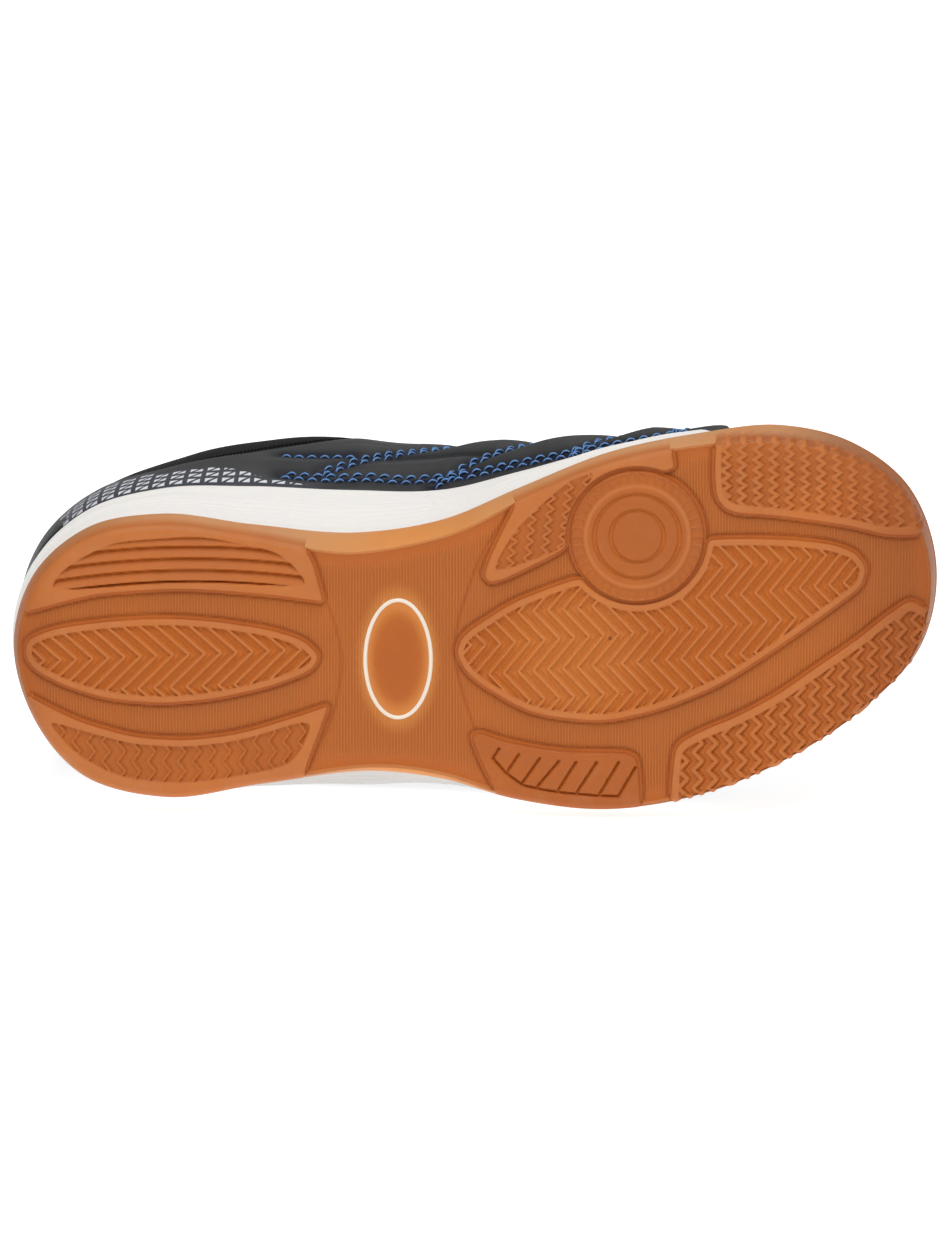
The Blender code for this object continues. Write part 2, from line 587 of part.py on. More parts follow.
def upper(stations):
    """Hollow upper: the outer face, a padded top edge and the lining side, open above and underneath."""
    shell = Shell()
    outer = upper_side(stations)
    share = np.linspace(-1.0 / SIDE_ROWS, 1.0, SIDE_ROWS + 2)[:, None]
    wall = WALL + stations.pad[None, :] * smoothstep(PAD_START, PAD_FULL, share)
    normals = face_normals(outer)
    normals[0, :, :2] = stations.normal
    normals[0, :, 2] = 0.0
    inner = outer - normals * wall[:, :, None]
    edge = (outer[-1] + inner[-1]) / 2 + np.array([0.0, 0.0, COLLAR_ROUND])
    rings = [shell.add(row) for row in list(outer) + [edge] + list(inner[::-1])]
    for lower, above in zip(rings, rings[1:] + rings[:1]):
        shell.band(lower, above)
    return shell


def arched_line(table, places):
    """Rows of a table along its middle line, with the line's upward normal in the xz plane."""
    rows = np.array(table, dtype=float)
    lengths = running_length(rows[:, [0, 2]])
    values = spline(rows, lengths, places * lengths[-1], closed=False)
    along = np.gradient(values[:, [0, 2]], axis=0)
    normal = np.column_stack([-along[:, 1], np.zeros(len(values)), along[:, 0]])
    return values, normal / np.linalg.norm(normal, axis=1)[:, None]


def tongue():
    """Padded tongue, arched across, thick in the middle and thin at its edges."""
    shell = Shell()
    values, normals = arched_line(TONGUE, np.linspace(0.0, 1.0, TONGUE_ROWS + 1))
    sections = []
    for (x, y, z, half_width, arch, thickness), normal in zip(values, normals):
        top, bottom = [], []
        for share in np.linspace(-1.0, 1.0, TONGUE_COLUMNS):
            across = share * half_width
            place = np.array([x, y + across, z]) - normal * arch * across ** 2
            depth = TONGUE_EDGE + (thickness - TONGUE_EDGE) * (1.0 - share ** 2)
            top.append(place)
            bottom.append(place - normal * depth)
        sections.append(shell.add(top[::-1] + bottom))
    for first, second in zip(sections, sections[1:]):
        shell.band(first, second)
    shell.faces.append(tuple(sections[0][::-1]))
    shell.faces.append(tuple(sections[-1]))
    return shell


def lace_strips():
    """Outlines of the lace on the flattened throat: a bar at the front pair, then crossings to the top."""
    xs = np.linspace(EYELET_FRONT, EYELET_TOP, EYELET_PAIRS)
    runs = [((xs[0], -EYELET_SPREAD), (xs[0], EYELET_SPREAD))]
    for front, back in zip(xs, xs[1:]):
        for side in (-1.0, 1.0):
            runs.append(((front, -side * EYELET_SPREAD), (back, side * EYELET_SPREAD)))
    strips = []
    for start, end in runs:
        start, end = np.array(start), np.array(end)
        along = (end - start) / np.linalg.norm(end - start)
        aside = np.array([-along[1], along[0]]) * LACE_WIDTH / 2
        steps = np.linspace(0.0, 1.0, LACE_STEPS + 1)[:, None]
        middle = start + (end - start) * steps
        strips.append(np.vstack([middle - aside, (middle + aside)[::-1]]))
    return strips


def lace():
    """Crossings of the flat lace as one joined piece over the throat."""
    shell = Shell()
    reach = EYELET_SPREAD + LACE_WIDTH
    frame = [(EYELET_TOP - reach, -reach), (EYELET_FRONT + reach, -reach), (EYELET_FRONT + reach, reach),
             (EYELET_TOP - reach, reach)]
    points, triangles = fill([frame] + lace_strips(), keep_points=True)
    values, normals = arched_line(THROAT, np.linspace(0.0, 1.0, THROAT_READINGS))
    middle = np.column_stack([np.interp(points[:, 0], values[:, 0], column) for column in values.T])
    normal = np.column_stack([np.interp(points[:, 0], values[:, 0], column) for column in normals.T])
    across = points[:, 1]
    low = middle - normal * (LACE_ARCH * across ** 2)[:, None]
    low[:, 1] += across
    high = low + normal * LACE_THICKNESS
    kept = [corners for corners, owners in triangles if owners]
    used = sorted({point for corners in kept for point in corners})
    low_numbers = dict(zip(used, shell.add(low[used])))
    high_numbers = dict(zip(used, shell.add(high[used])))
    sides = set()
    for corners in kept:
        shell.faces.append(tuple(high_numbers[i] for i in corners))
        shell.faces.append(tuple(low_numbers[i] for i in corners[::-1]))
        sides.update(zip(corners, corners[1:] + corners[:1]))
    for a, b in sides:
        if (b, a) not in sides:
            shell.faces.append((low_numbers[a], low_numbers[b], high_numbers[b], high_numbers[a]))
    return shell


def material(name, finish):
    """Principled material in the piece's colour."""
    result = bpy.data.materials.new(name)
    result.use_nodes = True
    shader = result.node_tree.nodes["Principled BSDF"]
    shader.inputs["Base Color"].default_value = (*finish.colour, 1.0)
    shader.inputs["Roughness"].default_value = finish.roughness
    shader.inputs["Metallic"].default_value = 0.0
    return result


def make_object(name, shell, holder):
    """Mesh object of one piece, hung on the empty that lays the shoe down."""
    mesh = bpy.data.meshes.new(name)
    mesh.from_pydata([tuple(np.array(point) * MM) for point in shell.points], [], shell.faces)
    mesh.materials.append(material(name, FINISHES[name]))
    mesh.shade_smooth()
    mesh.set_sharp_from_angle(angle=SMOOTH_ANGLE)
    piece = bpy.data.objects.new(name, mesh)
    bpy.context.collection.objects.link(piece)
    piece.parent = holder
    return piece


def weight_centre(shells):
    """Centre of gravity of the pieces, each at its own density."""
    total, moment = 0.0, np.zeros(3)
    for name, shell in shells.items():
        points = np.array(shell.points)
        for face in shell.faces:
            for b, c in zip(face[1:], face[2:]):
                corners = points[[face[0], b, c]]
                weight = FINISHES[name].density * np.linalg.det(corners) / 6.0
                total += weight
                moment += weight * corners.sum(axis=0) / 4.0
    return moment / total


def lay_on_side(shells):
    """Place of the shoe at rest on the three lateral points that carry its weight, toe towards +X."""
    points = np.vstack([np.array(shell.points) for shell in shells.values()])
    hull = bmesh.new()
    for point in points:
        hull.verts.new(point)
    bmesh.ops.convex_hull(hull, input=hull.verts)
    loose = [vertex for vertex in hull.verts if not vertex.link_faces]
    bmesh.ops.delete(hull, geom=loose, context="VERTS")
    hull.normal_update()
    centre = Vector(weight_centre(shells))
    _, normal, _, _ = BVHTree.FromBMesh(hull).ray_cast(centre, Vector((0.0, 1.0, 0.0)))
    hull.free()
    up = -np.array(normal if normal.y > 0.0 else -normal)
    toe = np.array([1.0, 0.0, 0.0]) - up[0] * up
    toe /= np.linalg.norm(toe)
    turn = np.array([toe, np.cross(up, toe), up])
    laid = points @ turn.T
    low, high = laid.min(axis=0), laid.max(axis=0)
    place = -np.array([(low[0] + high[0]) / 2, (low[1] + high[1]) / 2, low[2]])
    return Matrix.Translation(Vector(place * MM)) @ Matrix(turn.tolist()).to_4x4()


def main():
    """Clears the scene, makes each piece and lays the shoe on its side."""
    for old in list(bpy.data.objects):
        bpy.data.objects.remove(old)
    stations = Stations()
    shells = {
        "outsole": outsole(stations),
        "window_ring": window_ring(),
        "midsole": midsole(stations),
        "insole": insole(stations),
        "upper": upper(stations),
        "tongue": tongue(),
        "lace": lace(),
    }
    holder = bpy.data.objects.new("shoe", None)
    bpy.context.collection.objects.link(holder)
    holder.matrix_world = lay_on_side(shells)
    for name, shell in shells.items():
        make_object(name, shell, holder)


main()
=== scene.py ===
"""Looks of an indoor athletic shoe for the left foot, lying on its lateral side.

The pieces are shaped in the shoe's own frame in millimetres: x runs from heel to toe, y to the lateral
side and z up from the plane that heel and ball stand on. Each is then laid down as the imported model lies.
"""
import json
import logging
import math
from dataclasses import dataclass, field
from enum import Enum
from typing import Any, NamedTuple, Optional, Sequence, Union

import bpy
import numpy as np
from mathutils import Matrix, Vector
from mathutils.geometry import delaunay_2d_cdt
from mathutils.kdtree import KDTree


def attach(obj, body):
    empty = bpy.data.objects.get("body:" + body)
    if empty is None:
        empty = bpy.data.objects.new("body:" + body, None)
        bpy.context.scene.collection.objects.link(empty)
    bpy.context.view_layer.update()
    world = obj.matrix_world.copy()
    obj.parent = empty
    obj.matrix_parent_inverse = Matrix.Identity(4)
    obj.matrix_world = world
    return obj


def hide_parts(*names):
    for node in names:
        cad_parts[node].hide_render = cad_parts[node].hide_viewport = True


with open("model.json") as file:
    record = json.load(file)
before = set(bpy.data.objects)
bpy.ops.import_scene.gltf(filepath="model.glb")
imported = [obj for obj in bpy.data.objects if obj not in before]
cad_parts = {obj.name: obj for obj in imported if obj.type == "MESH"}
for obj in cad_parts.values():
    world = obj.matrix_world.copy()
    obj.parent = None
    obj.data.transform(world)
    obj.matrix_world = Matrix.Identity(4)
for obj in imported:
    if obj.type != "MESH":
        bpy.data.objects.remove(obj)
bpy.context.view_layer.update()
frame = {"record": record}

Array = np.ndarray
Span = tuple[float, float]
Points2 = Sequence[Span]
MM = 0.001
LOG = logging.getLogger("shoe")


class SoleRow(NamedTuple):
    """Edge of the tread, reach and height of the gum's edge and of the midsole's rim, the rim's thickness."""

    x: float
    y: float
    flare: float
    wrap: float
    rim_out: float
    rim: float
    cup: float


class LastRow(NamedTuple):
    """Edge of collar and throat over a sole row, how the side leaves the sole and arrives there, its pad."""

    top_x: float
    top_y: float
    top_z: float
    swell: float
    rise: float
    reach: float
    drop: float
    pad: float


# From the heel along the medial side to the toe and back along the lateral side.
SOLE = tuple(SoleRow(*row) for row in (
    (1.2, 0.6, 1.2, 8.0, 1.0, 25.0, 2.0),
    (6.7, -16.0, 1.4, 8.0, 1.6, 25.0, 2.0),
    (19.5, -26.6, 1.5, 8.0, 2.4, 25.0, 2.0),
    (36.0, -29.5, 1.6, 8.0, 4.2, 25.0, 2.0),
    (58.0, -26.8, 1.6, 8.5, 7.4, 25.5, 2.0),
    (85.0, -22.6, 3.2, 11.0, 10.3, 26.5, 2.0),
    (106.0, -27.0, 2.6, 9.5, 6.8, 24.5, 2.0),
    (124.0, -36.1, 1.6, 8.0, 2.9, 20.5, 2.0),
    (146.0, -45.2, 1.4, 8.0, 0.6, 16.6, 2.0),
    (167.0, -49.6, 1.2, 9.5, -0.1, 14.8, 1.8),
    (187.0, -50.3, 1.0, 17.0, -1.3, 16.4, 0.9),
    (203.5, -45.8, 1.2, 19.0, -1.1, 18.4, 0.9),
    (216.2, -36.0, 1.5, 20.0, -0.8, 19.4, 0.9),
    (223.8, -15.4, 1.6, 20.0, -0.7, 19.4, 0.9),
    (220.0, 4.0, 1.6, 19.5, -0.7, 18.9, 0.9),
    (207.3, 17.4, 1.5, 18.0, -0.8, 17.4, 0.9),
    (190.0, 28.5, 1.3, 15.0, -1.2, 14.4, 0.9),
    (168.0, 37.5, 1.3, 9.0, 0.6, 14.8, 1.8),
    (144.0, 41.2, 1.3, 8.0, 1.2, 16.6, 2.0),
    (123.0, 38.5, 1.6, 8.0, 2.8, 20.0, 2.0),
    (105.0, 33.4, 2.0, 9.0, 6.2, 23.5, 2.0),
    (87.0, 31.5, 2.2, 10.5, 8.0, 25.0, 2.0),
    (60.0, 34.7, 1.6, 8.5, 4.9, 25.5, 2.0),
    (37.0, 38.0, 1.5, 8.0, 3.6, 25.0, 2.0),
    (17.0, 32.4, 1.5, 8.0, 2.6, 25.0, 2.0),
    (5.2, 17.6, 1.4, 8.0, 1.6, 25.0, 2.0),
))
LAST = tuple(LastRow(*row) for row in (
    (8.0, 2.0, 74.0, 3.0, 16.0, 5.0, 16.0, 3.0),
    (13.0, -14.0, 72.0, 3.0, 16.0, 4.0, 15.0, 3.0),
    (24.0, -24.2, 67.5, 2.5, 14.0, 3.5, 14.0, 3.2),
    (42.0, -31.4, 65.0, 2.5, 13.0, 3.0, 13.0, 3.4),
    (62.0, -35.6, 66.5, 5.0, 13.0, 4.5, 13.0, 3.2),
    (84.0, -27.5, 78.0, 14.0, 14.0, 15.0, 16.0, 2.4),
    (98.0, -14.0, 88.0, 15.0, 16.0, 25.0, 12.0, 0.8),
    (118.0, -13.5, 76.0, 13.0, 16.0, 23.5, 12.0, 0.5),
    (138.0, -13.0, 64.0, 9.0, 14.0, 20.5, 8.0, 0.5),
    (152.0, -12.5, 55.0, 8.5, 12.0, 21.0, 6.0, 0.3),
    (157.0, -11.0, 51.6, 5.0, 12.0, 25.0, 5.0, 0.3),
    (159.0, -8.5, 50.3, 2.0, 13.0, 26.0, 4.0, 0.3),
    (160.0, -6.5, 49.8, 1.5, 13.0, 28.0, 3.5, 0.3),
    (160.3, -4.5, 49.6, 1.0, 14.0, 30.0, 3.5, 0.3),
    (160.0, -2.0, 49.8, 1.0, 14.0, 28.0, 3.5, 0.3),
    (159.0, 0.5, 50.3, 1.5, 13.0, 26.0, 4.0, 0.3),
    (157.0, 3.0, 51.4, 2.0, 12.0, 24.0, 5.0, 0.3),
    (151.0, 5.5, 55.2, 4.0, 12.0, 20.0, 6.0, 0.3),
    (137.0, 8.0, 64.4, 5.0, 14.0, 20.0, 8.0, 0.5),
    (118.0, 11.0, 76.0, 7.0, 16.0, 22.0, 12.0, 0.5),
    (98.0, 13.0, 88.0, 9.0, 16.0, 23.0, 12.0, 0.8),
    (84.0, 27.0, 77.0, 10.0, 15.0, 12.0, 16.0, 2.4),
    (62.0, 34.0, 64.0, 4.5, 13.0, 4.0, 13.0, 3.2),
    (42.0, 33.0, 62.0, 2.5, 13.0, 3.0, 13.0, 3.4),
    (23.0, 26.0, 66.0, 2.5, 14.0, 3.5, 14.0, 3.2),
    (13.0, 16.0, 71.5, 3.0, 16.0, 4.0, 15.0, 3.0),
))


@dataclass(frozen=True)
class Build:
    """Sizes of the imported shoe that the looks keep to, in millimetres."""

    length: float = 225.0
    gap: float = 0.3
    seat_gap: float = 0.6
    tread_depth: float = 1.5
    outsole: float = 4.5
    gum_wall: float = 2.0
    gum_foot: float = 0.5
    heel_bevel: float = 2.0
    heel_bevel_end: float = 10.0
    arch: float = 3.0
    arch_start: float = 70.0
    arch_end: float = 119.0
    toe_spring: float = 9.0
    toe_spring_start: float = 170.0
    toe_spring_curve: float = 1.7
    floor_heel: float = 15.0
    floor_ball: float = 10.0
    fall_start: float = 60.0
    fall_end: float = 130.0
    floor_inset: float = 1.6
    insole: float = 4.0
    wall: float = 2.2
    pad_start: float = 0.45
    pad_full: float = 0.9
    outward_lean: float = 10.0


B = Build()


def smoothstep(start: float, end: float, value: Any) -> Array:
    """Share from 0 at start to 1 at end, level at both."""
    share = np.clip((np.asarray(value, dtype=float) - start) / (end - start), 0.0, 1.0)
    return share * share * (3.0 - 2.0 * share)


def bell(distance: Any, width: float) -> Array:
    """Smooth bump of height 1 that reaches zero at the width given."""
    return 1.0 - smoothstep(0.0, width, np.abs(distance))


def lift(x: Any) -> Array:
    """Height of the tread's face: bevelled at the heel, flat, arched, flat, then sprung at the toe.

    Args:
        x: Places along the shoe.

    Returns:
        One height for each.
    """
    x = np.asarray(x, dtype=float)
    heel = B.heel_bevel * np.clip(1.0 - x / B.heel_bevel_end, 0.0, None) ** 2
    waist = np.clip((x - B.arch_start) / (B.arch_end - B.arch_start), 0.0, 1.0)
    front = np.clip((x - B.toe_spring_start) / (B.length - B.toe_spring_start), 0.0, None)
    return heel + B.arch * np.sin(math.pi * waist) ** 2 + B.toe_spring * front ** B.toe_spring_curve


def footbed(x: Any) -> Array:
    """Height of the midsole's floor."""
    spring = np.where(np.asarray(x) > B.toe_spring_start, lift(x), 0.0)
    return B.floor_heel + (B.floor_ball - B.floor_heel) * smoothstep(B.fall_start, B.fall_end, x) + spring


def running_length(points: Array) -> Array:
    """Length along a line of points, from zero at the first."""
    return np.concatenate([[0.0], np.cumsum(np.linalg.norm(np.diff(points, axis=0), axis=1))])


def unit(rows: Array) -> Array:
    """Rows scaled to a length of 1."""
    return rows / np.linalg.norm(rows, axis=-1, keepdims=True)


def read_rows(at: Array, places: Array, rows: Array) -> Array:
    """Rows of values, known at their own places, read straight between them at others."""
    return np.column_stack([np.interp(at, places, column) for column in rows.T])


def spline(rows: Array, lengths: Array, places: Array, closed: bool) -> Array:
    """Smooth curve through rows.

    Args:
        rows: Values at the knots.
        lengths: Running length at each knot, with the closing length last where the curve is closed.
        places: Running lengths to read the curve at.
        closed: Whether the curve returns to its start.

    Returns:
        One row of values for each place.
    """
    if closed:
        total, step = lengths[-1], np.diff(lengths)
        rows = np.vstack([rows[-2:], rows, rows[:2]])
        lengths = np.concatenate([[-step[-1] - step[-2], -step[-1]], lengths[:-1], [total, total + step[0]]])
    slopes = np.gradient(rows, lengths, axis=0)
    cell = np.clip(np.searchsorted(lengths, places, side="right") - 1, 0, len(lengths) - 2)
    width = (lengths[cell + 1] - lengths[cell])[:, None]
    t = (places - lengths[cell])[:, None] / width
    start, end = rows[cell], rows[cell + 1]
    return (
        start * (1 + 2 * t) * (1 - t) ** 2 + slopes[cell] * width * t * (1 - t) ** 2
        + end * t * t * (3 - 2 * t) + slopes[cell + 1] * width * t * t * (t - 1)
    )


def along(points: Any, step: float, closed: bool = False) -> Array:
    """Reads a smooth curve through points at even steps.

    Args:
        points: Knots of the curve, in two or three dimensions.
        step: Distance between the points wanted.
        closed: Whether the curve returns to its start.

    Returns:
        Points along the curve, without the repeated start where it is closed.
    """
    rows = np.array(points, dtype=float)
    lengths = running_length(np.vstack([rows, rows[:1]]) if closed else rows)
    count = max(2, int(round(lengths[-1] / step)))
    places = np.linspace(0.0, lengths[-1], count + 1)
    return spline(rows, lengths, places[:-1] if closed else places, closed)


class Stations:
    """The tables read at even steps round the sole, with the outward normal of the tread's edge."""

    BARE_START, BARE_BLEND = 3.0, 2.0

    def __init__(self, count: int) -> None:
        """Reads both tables.

        Args:
            count: Number of stations.
        """
        rows = np.array([tuple(sole) + tuple(last) for sole, last in zip(SOLE, LAST)])
        lengths = running_length(np.vstack([rows[:, :2], rows[:1, :2]]))
        values = spline(rows, lengths, np.arange(count) * lengths[-1] / count, closed=True)
        self.count = count
        self.edge = values[:, :2]
        (self.x, self.y, self.flare, self.wrap, self.rim_out, self.rim, self.cup, top_x, top_y, top_z,
         self.swell, self.rise, self.reach, self.drop, self.pad) = values.T
        ahead = np.roll(self.edge, -1, axis=0) - np.roll(self.edge, 1, axis=0)
        self.normal = unit(np.stack([ahead[:, 1], -ahead[:, 0]], axis=1))
        self.top = np.stack([top_x, top_y, top_z], axis=1)
        self.bare = np.clip((self.rim - self.wrap - self.BARE_START) / self.BARE_BLEND, 0.0, 1.0)
        hidden_rim = np.minimum(self.rim_out, self.gum_inside(self.rim) - B.seat_gap)
        self.rim_reach = np.where(self.bare > 0.0, self.rim_out, hidden_rim)
        self.cup_reach = self.rim_reach - self.cup
        self.floor_reach = np.minimum(self.cup_reach, self.flare - B.floor_inset)
        self.place = np.arange(count) * lengths[-1] / count

    def gum_inside(self, height: Any) -> Array:
        """Reach of the gum wall's inner face at a height.

        Args:
            height: A number, or one for each station.

        Returns:
            One reach for each station.
        """
        floor = lift(self.x) + B.outsole
        share = np.clip((height - floor) / (self.wrap - floor), 0.0, 1.0)
        return self.flare * (B.gum_foot + (1.0 - B.gum_foot) * share) - B.gum_wall

    def ring(self, reach: Any, height: Any) -> Array:
        """Closed ring of points.

        Args:
            reach: Distance outside the tread's edge, one number or one for each station.
            height: A number, one for each station, or a function of x.

        Returns:
            One point for each station.
        """
        flat = self.edge + self.normal * np.broadcast_to(reach, self.count)[:, None]
        level = height(flat[:, 0]) if callable(height) else np.broadcast_to(height, self.count)
        return np.column_stack([flat, level])


class Place:
    """Where the shoe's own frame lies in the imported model, from the record's two flat faces."""

    HEEL_REST = np.array([40.0, 4.0, 0.0])
    FOREFOOT_REST = np.array([152.0, -27.0, 0.0])

    def __init__(self, record: dict) -> None:
        """Finds the turn and the shift that take the sole's flat faces to the record's.

        Args:
            record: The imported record.
        """
        mounts = {mount["name"]: mount for mount in record["mounts"]}
        heel = np.array(mounts["heel_rest"]["pos_m"]) / MM
        up = -np.array(mounts["heel_rest"]["axis"])
        here = self._axes(np.array(mounts["forefoot_rest"]["pos_m"]) / MM - heel, unit(up))
        there = self._axes(self.FOREFOOT_REST - self.HEEL_REST, np.array([0.0, 0.0, 1.0]))
        self.turn = here.T @ there
        self.shift = heel - self.turn @ self.HEEL_REST

    @staticmethod
    def _axes(ahead: Array, up: Array) -> Array:
        """Three unit vectors, as rows, with the second square to both arguments."""
        ahead = unit(ahead - up * (ahead @ up))
        return np.array([ahead, np.cross(up, ahead), up])

    def points(self, shoe: Any) -> Array:
        """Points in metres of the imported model, from millimetres of the shoe."""
        return (np.asarray(shoe, dtype=float) @ self.turn.T + self.shift) * MM

    def direction(self, shoe: Any) -> Vector:
        """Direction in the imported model, from one of the shoe."""
        return Vector(self.turn @ np.asarray(shoe, dtype=float))


PLACE = Place(frame["record"])


class Value:
    """Output of a shader node that takes part in Python arithmetic."""

    def __init__(self, paint: "Paint", socket: bpy.types.NodeSocket) -> None:
        """Keeps the material and the output."""
        self.paint = paint
        self.socket = socket

    def _math(self, operation: str, *values: "Number") -> "Value":
        """One Math node on the values given."""
        return self.paint.node("ShaderNodeMath", {"operation": operation}, dict(enumerate(values)))

    def __add__(self, other: "Number") -> "Value":
        """Sum."""
        return self._math("ADD", self, other)

    def __sub__(self, other: "Number") -> "Value":
        """Difference."""
        return self._math("SUBTRACT", self, other)

    def __rsub__(self, other: "Number") -> "Value":
        """Difference from a number."""
        return self._math("SUBTRACT", other, self)

    def __mul__(self, other: "Number") -> "Value":
        """Product."""
        return self._math("MULTIPLY", self, other)

    def __truediv__(self, other: "Number") -> "Value":
        """Quotient."""
        return self._math("DIVIDE", self, other)

    __radd__ = __add__
    __rmul__ = __mul__

    def wave(self, pitch: float) -> "Value":
        """Sine of the value with the pitch given, between 0 and 1."""
        return self._math("SINE", self * (math.tau / pitch)) * 0.5 + 0.5

    def fraction(self) -> "Value":
        """Part after the point."""
        return self._math("FRACT", self)

    def whole(self) -> "Value":
        """Part before the point."""
        return self._math("FLOOR", self)

    def size(self) -> "Value":
        """Absolute value."""
        return self._math("ABSOLUTE", self)

    def most(self, other: "Number") -> "Value":
        """Larger of two."""
        return self._math("MAXIMUM", self, other)

    def step(self, start: float, end: float) -> "Value":
        """Smooth step from 0 at start to 1 at end."""
        inputs = {"Value": self, "From Min": start, "From Max": end}
        return self.paint.node("ShaderNodeMapRange", {"interpolation_type": "SMOOTHSTEP"}, inputs)


Number = Union[float, Value]
Colour = tuple[float, float, float]


class Paint:
    """One node material, written as expressions on Values."""

    COLOUR_A, COLOUR_B, COLOUR_OUT = 6, 7, 2
    SCATTER_DEPTH, SCATTER_TINT = 0.0014, (1.0, 0.36, 0.14)

    def __init__(self, name: str, roughness: float, specular: float, subsurface: float = 0.0) -> None:
        """Starts a material with its constant sockets.

        Args:
            name: Name of the material.
            roughness: Roughness where no pattern feeds it.
            specular: Level of its reflection.
            subsurface: Share of the light that passes through.
        """
        self.material = bpy.data.materials.new(name)
        self.material.use_nodes = True
        self.tree = self.material.node_tree
        self.shader = self.tree.nodes["Principled BSDF"]
        self.set("Roughness", roughness)
        self.set("Specular IOR Level", specular)
        self.set("Subsurface Weight", subsurface)
        self.set("Subsurface Scale", self.SCATTER_DEPTH)
        self.set("Subsurface Radius", self.SCATTER_TINT)

    def _feed(self, socket: bpy.types.NodeSocket, value: Any) -> None:
        """Links a Value to a socket, or sets the socket's own number, vector or colour.

        Args:
            socket: Socket that is fed.
            value: What it is fed.
        """
        if isinstance(value, Value):
            self.tree.links.new(value.socket, socket)
        elif isinstance(value, tuple):
            socket.default_value = (*value, 1.0) if socket.type == "RGBA" else value
        else:
            socket.default_value = value

    def set(self, socket: str, value: Any) -> None:
        """Feeds one of the shader's own sockets."""
        self._feed(self.shader.inputs[socket], value)

    def node(self, kind: str, settings: Optional[dict] = None, inputs: Optional[dict] = None,
             output: Any = 0) -> Value:
        """Adds any node.

        Args:
            kind: Node type.
            settings: Values of the node's own properties.
            inputs: Values or links of its sockets, by name or number.
            output: Name or number of the output wanted.

        Returns:
            That output.
        """
        made = self.tree.nodes.new(kind)
        for name, value in (settings or {}).items():
            setattr(made, name, value)
        for key, value in (inputs or {}).items():
            self._feed(made.inputs[key], value)
        return Value(self, made.outputs[output])

    def attribute(self, name: str) -> Value:
        """Number that a piece's mesh holds at its points."""
        return self.node("ShaderNodeAttribute", {"attribute_name": name}, output="Fac")

    def shoe(self) -> tuple[Value, Value, Value, Value]:
        """Place in the shoe's own millimetres, as a vector and as x, y and z."""
        place = self.node("ShaderNodeAttribute", {"attribute_name": "shoe"}, output="Vector")
        return (place, *(self.node("ShaderNodeSeparateXYZ", {}, {0: place}, axis) for axis in range(3)))

    def noise(self, place: Value, size: float, detail: float = 3.0) -> Value:
        """Soft noise about 0.5 with spots of the size given."""
        return self.node("ShaderNodeTexNoise", {}, {"Vector": place, "Scale": 1.0 / size, "Detail": detail})

    def cells(self, place: Value, size: float) -> Value:
        """Distance in a pattern of irregular cells of the size given."""
        return self.node("ShaderNodeTexVoronoi", {}, {"Vector": place, "Scale": 1.0 / size}, "Distance")

    def mix(self, share: Number, first: Union[Colour, Value], second: Union[Colour, Value]) -> Value:
        """Colour between two."""
        inputs = {0: share, self.COLOUR_A: first, self.COLOUR_B: second}
        return self.node("ShaderNodeMix", {"data_type": "RGBA"}, inputs, self.COLOUR_OUT)

    def bump(self, height: Value, depth: float) -> None:
        """Raises the surface by a height from 0 to 1 that stands for the depth in millimetres."""
        inputs = {"Height": height, "Distance": depth * MM, "Strength": 1.0}
        self.set("Normal", self.node("ShaderNodeBump", {}, inputs))


